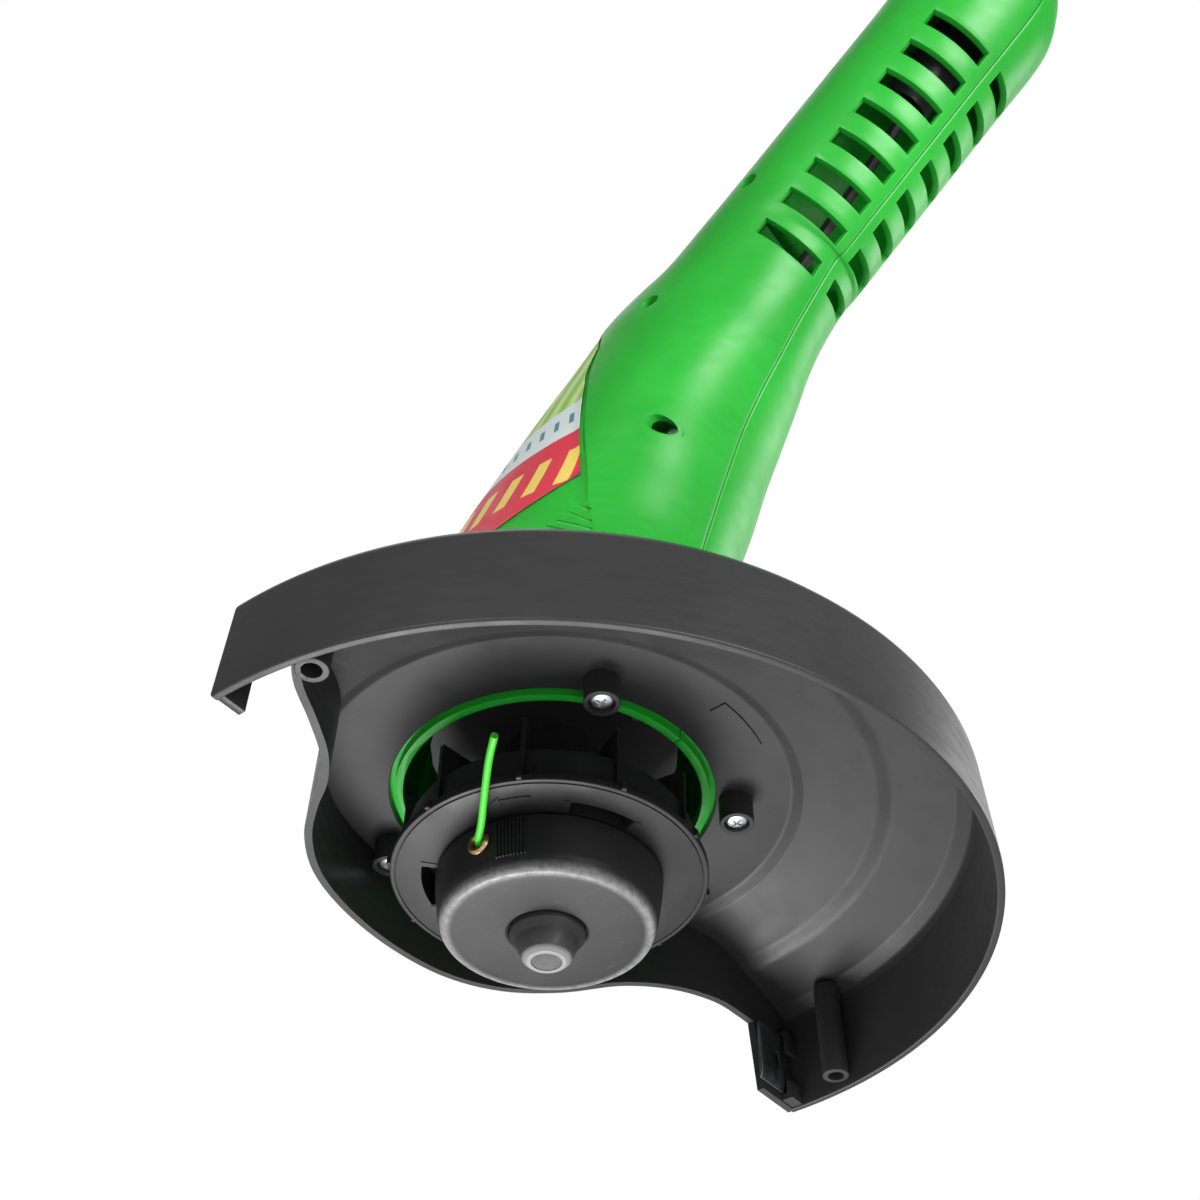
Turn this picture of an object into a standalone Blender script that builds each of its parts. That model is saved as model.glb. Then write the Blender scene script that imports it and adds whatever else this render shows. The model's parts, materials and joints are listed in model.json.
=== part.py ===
"""Corded electric string trimmer, modelled as separate sub-parts.

Run with: blender --background --python part.py

Frame, in metres: the origin is the foot of the bump button, +Z is the axis of the cutting
head (up), +Y points to the operator, and the tube leans that way. The operator looks along
-Y, so +X is the operator's left. All the driving sizes are the constants below.
"""
import math

import bmesh
import bpy
import numpy as np
from mathutils import Matrix, Vector

GAP = 0.0003                    # clearance kept between pieces that touch
SEAM_INSET = 0.0004             # ribs and posts stop this far short of the seam plane
SIDES = {"left": 1, "right": -1}  # the two moulded halves, by the sign of X

# cutting head, all turned about Z
FOOT_R = 0.0056                 # flat end of the bump button
BUTTON_R = 0.0129               # button where it leaves the cap
CAP_Z = 0.0110                  # underside of the cap
CAP_R = 0.0360
CAP_TOP_R = 0.0392
CAP_TOP_Z = 0.0310
CAP_WALL = 0.0022
EYELET_Z = 0.0240
EYELET_ANGLE = math.radians(3)
FLANGE_Z = 0.0323               # underside of the carrier's flange
FLANGE_R = 0.0550
DRUM_R = 0.0505                 # cylinder between the flange and the fan blades
DRUM_TOP = 0.0490
BLADE_TOP = 0.0620
BLADE_COUNT = 10
BLADE_FIRST = math.radians(28.4)
WINDOW_ANGLES = (63, 183, 303)  # openings in the flange, degrees
LINE_R = 0.00125                # cutting line
SPOOL_R = 0.0320
SPOOL_LOW = 0.0150
SPOOL_HIGH = 0.0296

# motor, about Z
SHAFT_R = 0.0050
STATOR_LOW = 0.104
STATOR_HIGH = 0.150
STATOR_R = 0.041
POLE_R = 0.0236
BRUSH_Z = 0.169

# guard
GUARD_R = 0.150
GUARD_WALL = 0.0027
GUARD_HOLE_R = 0.059
GUARD_RIM_Z = 0.0088
PLATE_UNDER = ((0.059, 0.0680), (0.086, 0.0664), (0.090, 0.0642), (0.115, 0.0580),
               (0.120, 0.0552), (0.141, 0.0502), (0.1462, 0.0468))
SCREW_CIRCLE_R = 0.066
SCREW_ANGLES = (53, 127, 284)   # degrees from +X
POST_R = 0.0050
POST_CIRCLE_R = 0.1417
POST_ANGLES = (11.4, 168.6)

# housing: front and rear points of each section on the seam plane, then half width,
# egg factor (how much slimmer the front is) and squareness
HOUSING_LOW = 0.0715
HOUSING_WALL = 0.0026
HOUSING_TURNS = 12
MOUTH_R = 0.0566
MOUTH_WALL = 0.0029
MOUTH_Z = 0.0672
HOUSING_SECTIONS = (
    (-0.0740, 0.0715, 0.0740, 0.0715, 0.0740, 0.00, 2.0),
    (-0.0725, 0.0950, 0.0725, 0.0930, 0.0715, 0.00, 2.0),
    (-0.0680, 0.1250, 0.0700, 0.1200, 0.0650, 0.02, 2.0),
    (-0.0600, 0.1600, 0.0690, 0.1480, 0.0570, 0.05, 2.1),
    (-0.0480, 0.1960, 0.0775, 0.1740, 0.0510, 0.08, 2.2),
    (-0.0300, 0.2200, 0.0850, 0.1930, 0.0485, 0.10, 2.3),
    (-0.0100, 0.2440, 0.0935, 0.2130, 0.0465, 0.10, 2.3),
    (0.0110, 0.2690, 0.1030, 0.2300, 0.0440, 0.09, 2.3),
    (0.0300, 0.2925, 0.1130, 0.2450, 0.0420, 0.06, 2.2),
    (0.0440, 0.3040, 0.1230, 0.2600, 0.0395, 0.02, 2.1),
    (0.0620, 0.3135, 0.1340, 0.2750, 0.0375, 0.00, 2.0),
    (0.0830, 0.3300, 0.1460, 0.2900, 0.0366, 0.00, 2.0),
)
NECK_Y = 0.1765                 # a point on the axis of the neck and tube
NECK_Z = 0.3613
NECK_ANGLE = math.radians(40)
NECK_R = 0.0364
NECK_START = -0.062             # places along the neck axis, from that point
NECK_TAPER = 0.078
NECK_END = 0.122
VENT_FIRST = -0.078
VENT_PITCH = 0.0174
VENT_COUNT = 8
VENT_WIDTH = 0.0075
# y, z, how far the posts reach from the seam, and where the screw head sits
HOUSING_SCREWS = ((0.1280, 0.3260, 0.0350, 0.0145), (0.0775, 0.2710, 0.0402, 0.0145),
                  (0.0755, 0.1965, 0.0255, 0.0240))

# tube and handles
TUBE_R = 0.0125
TUBE_WALL = 0.0012
TUBE_START = 0.020
TUBE_END = 0.660
CLAMP_AT = 0.430
LOOP_R = 0.011
HANDLE_START = 0.600
HANDLE_WALL = 0.0026
# handle path: distance travelled after the last row, path angle, half depth, half width
HANDLE_ROWS = (
    (0.000, 40, 0.0160, 0.0160),
    (0.004, 40, 0.0200, 0.0190),
    (0.040, 40, 0.0230, 0.0205),
    (0.036, 38, 0.0275, 0.0205),
    (0.030, 34, 0.0280, 0.0200),
    (0.030, 27, 0.0240, 0.0190),
    (0.030, 20, 0.0200, 0.0180),
    (0.035, 14, 0.0190, 0.0175),
    (0.040, 10, 0.0195, 0.0180),
    (0.030, 8, 0.0225, 0.0190),
    (0.010, 8, 0.0205, 0.0175),
    (0.003, 8, 0.0095, 0.0095),
)
GRIP_ANGLE = math.radians(32)
GRIP_ORIGIN = (0.7080, 0.8020)  # (y, z) inside the grip, over the trigger
# places in the grip: s along it to the rear, v upwards, both from that point
TRIGGER_PIVOT = (-0.0200, -0.0130)
LOCK_PLACE = (0.0060, 0.0120)
HANDLE_SCREWS = ((-0.0225, 0.0135), (0.1230, -0.0165))

COLOURS = {
    "green": ((0.010, 0.420, 0.020), 0.32, 0.0),
    "black": ((0.020, 0.020, 0.021), 0.48, 0.0),
    "steel": ((0.560, 0.570, 0.580), 0.28, 1.0),
    "iron": ((0.230, 0.235, 0.245), 0.45, 1.0),
    "copper": ((0.700, 0.260, 0.110), 0.35, 1.0),
    "brass": ((0.780, 0.520, 0.200), 0.25, 1.0),
    "line": ((0.080, 0.650, 0.060), 0.30, 0.0),
    "label": ((0.450, 0.720, 0.160), 0.35, 0.0),
    "carbon": ((0.030, 0.030, 0.032), 0.60, 0.0),
    "bakelite": ((0.160, 0.070, 0.030), 0.45, 0.0),
    "white": ((0.720, 0.720, 0.700), 0.40, 0.0),
}


# ---------------------------------------------------------------- scene helpers

def clear_scene():
    for item in list(bpy.data.objects):
        bpy.data.objects.remove(item)


def make_collection(name):
    group = bpy.data.collections.new(name)
    bpy.context.scene.collection.children.link(group)
    return group


def material(name):
    found = bpy.data.materials.get(name)
    if found:
        return found
    colour, roughness, metallic = COLOURS[name]
    made = bpy.data.materials.new(name)
    made.use_nodes = True
    shader = made.node_tree.nodes["Principled BSDF"]
    shader.inputs["Base Color"].default_value = (*colour, 1.0)
    shader.inputs["Roughness"].default_value = roughness
    shader.inputs["Metallic"].default_value = metallic
    made.diffuse_color = (*colour, 1.0)
    return made


def finish(item, look):
    """Give a sub-part its material and smooth shading."""
    item.data.materials.clear()
    item.data.materials.append(material(look))
    if item.type == "MESH":
        item.data.shade_smooth()
        item.data.set_sharp_from_angle(angle=math.radians(35))
    PARTS.objects.link(item)
    return item


def as_tool(item):
    """Keep a shape only as a cutter or a piece to join."""
    CUTTERS.objects.link(item)
    item.hide_render = True
    item.display_type = "WIRE"
    return item


def mesh_object(name, points, edges, faces):
    mesh = bpy.data.meshes.new(name)
    mesh.from_pydata([tuple(p) for p in points], edges, faces)
    mesh.update()
    return bpy.data.objects.new(name, mesh)


def turned(name, profile, steps=48, ring=False):
    """A turned shape about Z. A ring's profile is closed, any other starts and ends on Z."""
    count = len(profile)
    edges = [(i, i + 1) for i in range(count - 1)]
    if ring:
        edges.append((count - 1, 0))
    item = mesh_object(name, [(r, 0.0, z) for r, z in profile], edges, [])
    screw = item.modifiers.new("Turn", "SCREW")
    screw.steps = steps
    screw.render_steps = steps
    screw.use_merge_vertices = True
    screw.merge_threshold = 0.00002
    screw.use_smooth_shade = True
    return item


def ring(name, inner, outer, low, high, steps=48):
    return turned(name, [(outer, high), (outer, low), (inner, low), (inner, high)], steps, True)


def box(name, low, high):
    body = bmesh.new()
    bmesh.ops.create_cube(body, size=1.0)
    size = [b - a for a, b in zip(low, high)]
    middle = [(a + b) / 2 for a, b in zip(low, high)]
    bmesh.ops.scale(body, vec=size, verts=body.verts)
    bmesh.ops.translate(body, vec=middle, verts=body.verts)
    mesh = bpy.data.meshes.new(name)
    body.to_mesh(mesh)
    body.free()
    return bpy.data.objects.new(name, mesh)


def rod(name, start, end, radius, sides=20, end_radius=None):
    """A cylinder or cone between two points."""
    start = Vector(start)
    way = Vector(end) - start
    turn = Vector((0, 0, 1)).rotation_difference(way)
    body = bmesh.new()
    bmesh.ops.create_cone(body, cap_ends=True, segments=sides, radius1=radius,
                          radius2=radius if end_radius is None else end_radius, depth=way.length)
    place = Matrix.Translation(start + way / 2) @ turn.to_matrix().to_4x4()
    bmesh.ops.transform(body, matrix=place, verts=body.verts)
    mesh = bpy.data.meshes.new(name)
    body.to_mesh(mesh)
    body.free()
    return bpy.data.objects.new(name, mesh)


def curve_object(name, splines, depth=0.0, extrude=0.0, cyclic=True, detail=2):
    data = bpy.data.curves.new(name, "CURVE")
    data.dimensions = "2D" if extrude else "3D"
    data.fill_mode = "BOTH" if extrude else "FULL"
    data.extrude = extrude
    data.bevel_depth = depth
    data.bevel_resolution = detail
    data.use_fill_caps = not extrude
    for points in splines:
        spline = data.splines.new("POLY")
        spline.points.add(len(points) - 1)
        for slot, point in zip(spline.points, points):
            slot.co = (*point, 1.0) if len(point) == 3 else (*point, 0.0, 1.0)
        spline.use_cyclic_u = cyclic
    return bpy.data.objects.new(name, data)


def as_mesh(item):
    """Turn a curve object into a welded mesh object, so that it can be cut and joined."""
    bpy.context.scene.collection.objects.link(item)
    seen = item.evaluated_get(bpy.context.evaluated_depsgraph_get())
    mesh = bpy.data.meshes.new_from_object(seen)
    body = bmesh.new()
    body.from_mesh(mesh)
    bmesh.ops.remove_doubles(body, verts=body.verts, dist=0.000005)
    body.to_mesh(mesh)
    body.free()
    name = item.name
    place = item.matrix_world.copy()
    bpy.data.objects.remove(item)
    made = bpy.data.objects.new(name, mesh)
    made.matrix_world = place
    return made


def prism(name, outline, low, high, holes=()):
    """A flat outline in XY, extruded from low to high."""
    item = curve_object(name, [outline, *holes], extrude=(high - low) / 2)
    item.matrix_world = Matrix.Translation((0, 0, (low + high) / 2))
    return as_mesh(item)


def side_plate(name, outline, low, high):
    """A flat outline in (y, z), extruded along X from low to high."""
    item = curve_object(name, [outline], extrude=(high - low) / 2)
    turn = Matrix(((0, 0, 1, (low + high) / 2), (1, 0, 0, 0), (0, 1, 0, 0), (0, 0, 0, 1)))
    item.matrix_world = turn
    return as_mesh(item)


def wire(name, points, radius, detail=2, cyclic=False):
    return curve_object(name, [points], depth=radius, cyclic=cyclic, detail=detail)


def combine(item, tool, operation):
    step = item.modifiers.new(operation.title(), "BOOLEAN")
    step.operation = operation
    step.solver = "EXACT"
    step.object = as_tool(tool) if not tool.users_collection else tool
    return item


def join(item, tool):
    return combine(item, tool, "UNION")


def cut(item, tool):
    return combine(item, tool, "DIFFERENCE")


def polar(radius, angle, z=None):
    point = (radius * math.cos(angle), radius * math.sin(angle))
    return point if z is None else (*point, z)


def arc(radius, start, end, count):
    """Points on an arc about Z, angles in degrees."""
    return [polar(radius, math.radians(start + (end - start) * i / count)) for i in range(count + 1)]


def smooth_path(points, count):
    """Evenly numbered points on a Catmull-Rom curve through the given points."""
    rows = np.array(points, dtype=float)
    return [catmull(rows, s) for s in np.linspace(0, len(rows) - 1, count)]


def catmull(rows, s):
    last = len(rows) - 1
    i = min(int(s), last - 1)
    f = s - i
    p0 = rows[max(i - 1, 0)]
    p1 = rows[i]
    p2 = rows[i + 1]
    p3 = rows[min(i + 2, last)]
    return 0.5 * (2 * p1 + (p2 - p0) * f + (2 * p0 - 5 * p1 + 4 * p2 - p3) * f * f
                  + (3 * p1 - p0 - 3 * p2 + p3) * f ** 3)


def helix(radius, low, high, turns, steps=10):
    total = int(turns * steps)
    return [(radius * math.cos(2 * math.pi * i / steps), radius * math.sin(2 * math.pi * i / steps),
             low + (high - low) * i / total) for i in range(total + 1)]


def along_neck(distance, up=0.0, x=0.0):
    """A point at a distance along the neck axis, and so far above it."""
    y = NECK_Y + distance * math.cos(NECK_ANGLE) - up * math.sin(NECK_ANGLE)
    z = NECK_Z + distance * math.sin(NECK_ANGLE) + up * math.cos(NECK_ANGLE)
    return (x, y, z)


# ---------------------------------------------------------------- cutting head

def bump_button():
    """The knob that is tapped on the ground: its shoulder lifts the reel, and it centres it."""
    profile = [(0, 0.0280), (0.0065, 0.0280), (0.0065, 0.0232), (0.0150, 0.0232),
               (0.0150, 0.0166), (0.0168, 0.0162), (0.0168, 0.0140), (BUTTON_R, 0.0138),
               (BUTTON_R, 0.0104), (0.0116, 0.0084), (0.0086, 0.0026), (0.0074, 0.0008),
               (FOOT_R, 0.0), (0, 0)]
    finish(turned("bump_button", profile, 20), "black")


def spool_cap():
    outer = [(CAP_TOP_R, CAP_TOP_Z), (CAP_TOP_R - 0.0004, 0.0262), (CAP_R + 0.0016, 0.0165),
             (CAP_R + 0.0006, 0.0142), (CAP_R - 0.0009, 0.0122), (CAP_R - 0.0030, CAP_Z + 0.0002),
             (CAP_R - 0.0050, CAP_Z)]
    inner = [(BUTTON_R + 0.0004, CAP_Z), (BUTTON_R + 0.0004, CAP_Z + CAP_WALL),
             (CAP_R - 0.0045, CAP_Z + CAP_WALL), (CAP_R - 0.0014, 0.0162),
             (CAP_TOP_R - CAP_WALL, CAP_TOP_Z)]
    cap = turned("spool_cap", outer + inner, 32, True)
    hole = rod("eyelet_bore", polar(0.030, EYELET_ANGLE, EYELET_Z),
               polar(0.045, EYELET_ANGLE, EYELET_Z), 0.0031)
    finish(cut(cap, hole), "black")


def eyelet():
    profile = [(0.0042, 0.0008), (0.0040, 0.0), (0.0028, 0.0), (0.0028, -0.0036),
               (0.0018, -0.0036), (0.0018, 0.0004), (0.0028, 0.0013), (0.0038, 0.0013)]
    item = turned("eyelet", profile, 12, True)
    face = Vector(polar(CAP_TOP_R - 0.0002, EYELET_ANGLE, EYELET_Z))
    turn = Vector((0, 0, 1)).rotation_difference(Vector(polar(1, EYELET_ANGLE, 0)))
    item.matrix_world = Matrix.Translation(face) @ turn.to_matrix().to_4x4()
    finish(item, "brass")


def cutting_line():
    """The line's free end: it leaves the reel, passes the eyelet and bends in the cutting plane."""
    start = polar(0.0325, EYELET_ANGLE, EYELET_Z)
    at_eyelet = polar(0.0392, EYELET_ANGLE, EYELET_Z)
    points = [start, at_eyelet, (0.0468, 0.0098, 0.0242), (0.0589, 0.0216, 0.0243),
              (0.0694, 0.0322, 0.0241), (0.0768, 0.0406, 0.0240)]
    finish(wire("cutting_line", smooth_path(points, 16), LINE_R), "line")


def spool():
    profile = [(0.0190, SPOOL_HIGH - 0.0016), (0.0190, SPOOL_LOW + 0.0018 + 0.0016),
               (SPOOL_R, SPOOL_LOW + 0.0034), (SPOOL_R, SPOOL_LOW + 0.0018),
               (0.0172, SPOOL_LOW + 0.0018), (0.0172, 0.0235), (0.0069, 0.0235),
               (0.0069, 0.0258), (0.0110, 0.0258), (0.0110, SPOOL_HIGH), (SPOOL_R, SPOOL_HIGH),
               (SPOOL_R, SPOOL_HIGH - 0.0016)]
    finish(turned("spool", profile, 24, True), "black")


def wound_line():
    finish(ring("wound_line", 0.0193, 0.0308, SPOOL_LOW + 0.0037, SPOOL_HIGH - 0.0019, 24), "line")


def feed_spring():
    points = helix(0.0089, 0.0266, 0.0400, 4, 8)
    finish(wire("feed_spring", points, 0.0006, 1), "steel")


def blade(angle, name):
    """One fan blade: a fin over the drum, with a rib down its side that crosses the flange."""
    thick = 0.0008
    outline = [(0.0200, 0.0470), (0.0494, 0.0470), (0.0494, FLANGE_Z + 0.0004),
               (0.0562, FLANGE_Z + 0.0004), (0.0562, FLANGE_Z + 0.0030), (0.0520, FLANGE_Z + 0.0050),
               (0.0522, BLADE_TOP), (0.0240, BLADE_TOP - 0.0010)]
    item = curve_object(name, [outline], extrude=thick)
    stand = Matrix(((1, 0, 0, 0), (0, 0, -1, 0), (0, 1, 0, 0), (0, 0, 0, 1)))
    item.matrix_world = Matrix.Rotation(angle, 4, "Z") @ stand
    return as_mesh(item)


def fan_carrier():
    """Fan, drum and flange in one moulding: it holds the reel and turns with the shaft."""
    profile = [(FLANGE_R, FLANGE_Z + 0.0028), (FLANGE_R, FLANGE_Z + 0.0006),
               (FLANGE_R - 0.0006, FLANGE_Z), (0.0370, FLANGE_Z), (0.0350, FLANGE_Z + 0.0024),
               (0.0350, 0.0455), (0.0105, 0.0455), (0.0105, 0.0410), (SHAFT_R + GAP, 0.0410),
               (SHAFT_R + GAP, 0.0600), (0.0120, 0.0600), (0.0130, 0.0490),
               (DRUM_R - 0.0010, DRUM_TOP), (DRUM_R, DRUM_TOP - 0.0010), (DRUM_R, 0.0354)]
    carrier = turned("fan_carrier", profile, 28, True)
    for index in range(BLADE_COUNT):
        turn = BLADE_FIRST + index * 2 * math.pi / BLADE_COUNT
        join(carrier, blade(turn, f"blade_{index}"))
    for index, middle in enumerate(WINDOW_ANGLES):
        outline = arc(0.0442, middle - 15, middle + 15, 3) + arc(0.0384, middle + 15, middle - 15, 3)
        cut(carrier, prism(f"window_{index}", outline, FLANGE_Z - 0.002, 0.0440))
    finish(carrier, "black")


def carrier_nut():
    finish(cut(rod("carrier_nut", (0, 0, 0.0352), (0, 0, 0.0406), 0.0075, 6),
               rod("nut_bore", (0, 0, 0.030), (0, 0, 0.045), SHAFT_R + GAP)), "steel")


# ---------------------------------------------------------------- motor

def motor_shaft():
    profile = [(0, 0.1960), (0.0036, 0.1960), (0.0036, 0.1800), (SHAFT_R, 0.1790),
               (SHAFT_R, 0.0345), (0.0044, 0.0338), (0, 0.0338)]
    finish(turned("motor_shaft", profile, 16), "steel")


def bearing(name, bore, outer, low, high):
    """A sealed ball bearing: two races with a recessed seal between them."""
    third = (outer - bore) / 3
    lip = 0.0006
    profile = [(outer, high), (outer, low), (bore, low), (bore, high), (bore + third, high),
               (bore + third, high - lip), (outer - third, high - lip), (outer - third, high)]
    finish(turned(name, profile, 18, True), "steel")


def armature():
    core = turned("armature_core", [(0.0228, STATOR_HIGH), (0.0228, STATOR_LOW),
                                    (SHAFT_R + GAP, STATOR_LOW), (SHAFT_R + GAP, STATOR_HIGH)],
                  36, True)
    for index in range(8):
        turn = 2 * math.pi * index / 8
        slot = box(f"armature_slot_{index}", (0.0215, -0.0011, STATOR_LOW - 0.001),
                   (0.0240, 0.0011, STATOR_HIGH + 0.001))
        slot.matrix_world = Matrix.Rotation(turn, 4, "Z")
        cut(core, slot)
    finish(core, "iron")
    for name, far, near in (("armature_winding_lower", 0.0942, STATOR_LOW - GAP),
                            ("armature_winding_upper", 0.1600, STATOR_HIGH + GAP)):
        low = min(far, near)
        high = max(far, near)
        bore = SHAFT_R + GAP
        profile = [(0.0170, high), (0.0208, (low + high) / 2 + 0.0025),
                   (0.0208, (low + high) / 2 - 0.0025), (0.0170, low), (bore, low), (bore, high)]
        finish(turned(name, profile, 20, True), "copper")


def commutator():
    body = ring("commutator", SHAFT_R + GAP, 0.0120, 0.1620, 0.1765, 24)
    finish(body, "copper")


def stator_core():
    """Two-pole lamination stack: poles reach in at +X and -X, coils lie beside them."""
    inner = []
    for degrees in range(0, 360, 10):
        from_pole = abs((degrees + 90) % 180 - 90)
        radius = POLE_R if from_pole <= 50 else 0.0330
        inner.append(polar(radius, math.radians(degrees)))
    core = prism("stator_core", arc(STATOR_R, 0, 350, 35), STATOR_LOW, STATOR_HIGH, [inner])
    for sign in (1, -1):
        cut(core, rod(f"bolt_hole_{sign}", (0, sign * 0.037, 0.10), (0, sign * 0.037, 0.155),
                      0.0023, 12))
    finish(core, "iron")


def field_coils():
    """One closed winding round each pole."""
    half_turn = math.radians(70)
    for index, facing in enumerate((0.0, math.pi)):
        points = []
        for turn in np.linspace(-half_turn, half_turn, 9):
            points.append(polar(0.0294, facing + turn, STATOR_HIGH + 0.0050))
        for turn in np.linspace(half_turn, -half_turn, 9):
            points.append(polar(0.0294, facing + turn, STATOR_LOW - 0.0050))
        finish(wire(f"field_coil_{index + 1}", points, 0.0029, 2, True), "copper")


def motor_frames():
    """Lower and upper frames carry the bearings and are bolted through the stator."""
    lower = turned("motor_frame_lower",
                   [(0.0460, 0.0915), (0.0460, 0.0885), (0.0175, 0.0885), (0.0175, 0.0770),
                    (0.0143, 0.0770), (0.0143, 0.0863), (0.0090, 0.0863), (0.0090, 0.0915)],
                   24, True)
    upper = box("motor_frame_upper", (-0.0130, -0.0445, 0.1800), (0.0130, 0.0445, 0.1830))
    join(upper, rod("upper_hub", (0, 0, 0.1801), (0, 0, 0.1920), 0.0145, 24))
    cut(upper, rod("upper_pocket", (0, 0, 0.1845), (0, 0, 0.200), 0.0113, 24))
    cut(upper, rod("upper_bore", (0, 0, 0.170), (0, 0, 0.200), 0.0065, 16))
    for sign in (1, -1):
        place = sign * 0.037
        cut(lower, rod(f"lower_hole_{sign}", (0, place, 0.08), (0, place, 0.10), 0.0023, 12))
        join(upper, rod(f"upper_leg_{sign}", (0, place, STATOR_HIGH + GAP), (0, place, 0.1815),
                        0.0048, 12))
        cut(upper, rod(f"upper_hole_{sign}", (0, place, 0.14), (0, place, 0.19), 0.0023, 12))
    finish(lower, "black")
    finish(upper, "black")
    bearing("bearing_lower", SHAFT_R + GAP, 0.0140, 0.0780, 0.0860)
    bearing("bearing_upper", 0.0036 + GAP, 0.0110, 0.1848, 0.1912)


def motor_bolts():
    """Long bolts from the lower frame to the upper one."""
    for index, sign in enumerate((1, -1)):
        bolt = rod(f"motor_bolt_{index + 1}", (0, sign * 0.037, 0.0880), (0, sign * 0.037, 0.1860),
                   0.0020, 12)
        join(bolt, rod(f"bolt_head_{index}", (0, sign * 0.037, 0.1833), (0, sign * 0.037, 0.1862),
                       0.0038, 6))
        finish(bolt, "steel")


def brush_gear():
    """Holder, carbon brush and spring on each side of the commutator."""
    for index, sign in enumerate((1, -1)):
        turn = Matrix.Rotation(0 if sign > 0 else math.pi, 4, "Z")
        holder = box(f"brush_holder_{index + 1}", (0.0140, -0.0056, BRUSH_Z - 0.0066),
                     (0.0375, 0.0056, BRUSH_Z + 0.0066))
        tunnel = box(f"brush_tunnel_{index}", (0.0130, -0.0036, BRUSH_Z - 0.0046),
                     (0.0360, 0.0036, BRUSH_Z + 0.0046))
        tunnel.matrix_world = turn
        holder.matrix_world = turn
        finish(cut(holder, tunnel), "brass")
        brush = box(f"carbon_brush_{index + 1}", (0.0123, -0.0033, BRUSH_Z - 0.0043),
                    (0.0250, 0.0033, BRUSH_Z + 0.0043))
        brush.matrix_world = turn
        finish(brush, "carbon")
        lie = turn @ Matrix.Translation((0, 0, BRUSH_Z)) @ Matrix.Rotation(math.pi / 2, 4, "Y")
        spring = wire(f"brush_spring_{index + 1}", helix(0.0026, 0.0259, 0.0351, 3, 6), 0.0004, 1)
        spring.matrix_world = lie
        finish(spring, "steel")


# ---------------------------------------------------------------- guard

def lip_path():
    """Inner edge of the guard in plan, from the +X post round the front to the -X end wall."""
    knots = [(0.1372, 0.0220), (0.1310, 0.0110), (0.1210, 0.0010), (0.1060, -0.0075),
             (0.0925, -0.0160), (0.0820, -0.0265), (0.0745, -0.0385), (0.0640, -0.0515),
             (0.0480, -0.0630), (0.0260, -0.0705), (0.0, -0.0735), (-0.0260, -0.0705),
             (-0.0460, -0.0600), (-0.0600, -0.0430), (-0.0700, -0.0215), (-0.0840, -0.0070),
             (-0.1010, 0.0012), (-0.1170, 0.0030), (-0.1320, 0.0030)]
    return [tuple(p) for p in smooth_path(knots, 34)]


def offset_path(points, distance):
    """The same open path moved sideways, to its left."""
    rows = np.array(points)
    way = np.gradient(rows, axis=0)
    side = np.stack([-way[:, 1], way[:, 0]], axis=1)
    side /= np.linalg.norm(side, axis=1)[:, None]
    return [tuple(p) for p in rows + side * distance]


def guard():
    top = [(r, z + GUARD_WALL) for r, z in PLATE_UNDER]
    skirt_out = [(0.1488, 0.0466), (GUARD_R - 0.0002, 0.0430), (GUARD_R + 0.0003, GUARD_RIM_Z)]
    skirt_in = [(GUARD_R - GUARD_WALL, GUARD_RIM_Z), (GUARD_R - GUARD_WALL - 0.0005, 0.0440)]
    under = list(reversed(PLATE_UNDER))
    body = turned("guard", top + skirt_out + skirt_in + under, 44, True)
    lip = lip_path()
    inside_lip = offset_path(lip, GUARD_WALL / 2)
    plan = [(0.1560, 0.0), (0.1465, 0.0)] + arc(0.1465, 2, 8, 2) + inside_lip[1:-1] \
        + [(-0.1560, 0.0022)] + arc(0.1560, 178, 2, 30)
    combine(body, prism("guard_plan", plan, 0.0, 0.080), "INTERSECT")
    band = lip + list(reversed(offset_path(lip, GUARD_WALL)))
    wall = prism("lip_wall", band, 0.0355, 0.080)
    roof = [(0, 0.0696), (GUARD_HOLE_R, 0.0696)] + [(r, z - 0.0008) for r, z in top[1:]] \
        + [(0.1490, 0.0300), (0, 0.0300)]
    combine(wall, turned("under_plate", roof, 44), "INTERSECT")
    join(body, wall)
    for index, degrees in enumerate(POST_ANGLES):
        spot = polar(POST_CIRCLE_R, math.radians(degrees))
        join(body, rod(f"post_{index}", (*spot, 0.0110), (*spot, 0.0514), POST_R, 12))
        cut(body, rod(f"post_bore_{index}", (*spot, 0.0), (*spot, 0.0420), 0.0031, 12))
    for index, degrees in enumerate(SCREW_ANGLES):
        spot = polar(SCREW_CIRCLE_R, math.radians(degrees))
        join(body, rod(f"boss_{index}", (*spot, 0.0570), (*spot, 0.0690), 0.0062, 12))
        cut(body, rod(f"boss_pocket_{index}", (*spot, 0.05), (*spot, 0.0605), 0.0046, 12))
        cut(body, rod(f"boss_bore_{index}", (*spot, 0.05), (*spot, 0.0800), 0.0024, 8))
    join(body, box("end_return", (0.1395, 0.0003, GUARD_RIM_Z + 0.0002), (0.1485, 0.0028, 0.0395)))
    join(body, box("end_wall", (-0.1488, 0.0003, GUARD_RIM_Z + 0.0002), (-0.1270, 0.0031, 0.0480)))
    hook_low = [(0.0027, 0.0095), (0.0078, 0.0095), (0.0078, 0.0165), (0.0056, 0.0165),
                (0.0056, 0.0118), (0.0027, 0.0118)]
    hook_high = [(0.0027, 0.0385), (0.0078, 0.0385), (0.0078, 0.0290), (0.0056, 0.0290),
                 (0.0056, 0.0365), (0.0027, 0.0365)]
    join(body, side_plate("clip_low", hook_low, -0.1485, -0.1400))
    join(body, side_plate("clip_high", hook_high, -0.1485, -0.1405))
    finish(body, "black")


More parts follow.
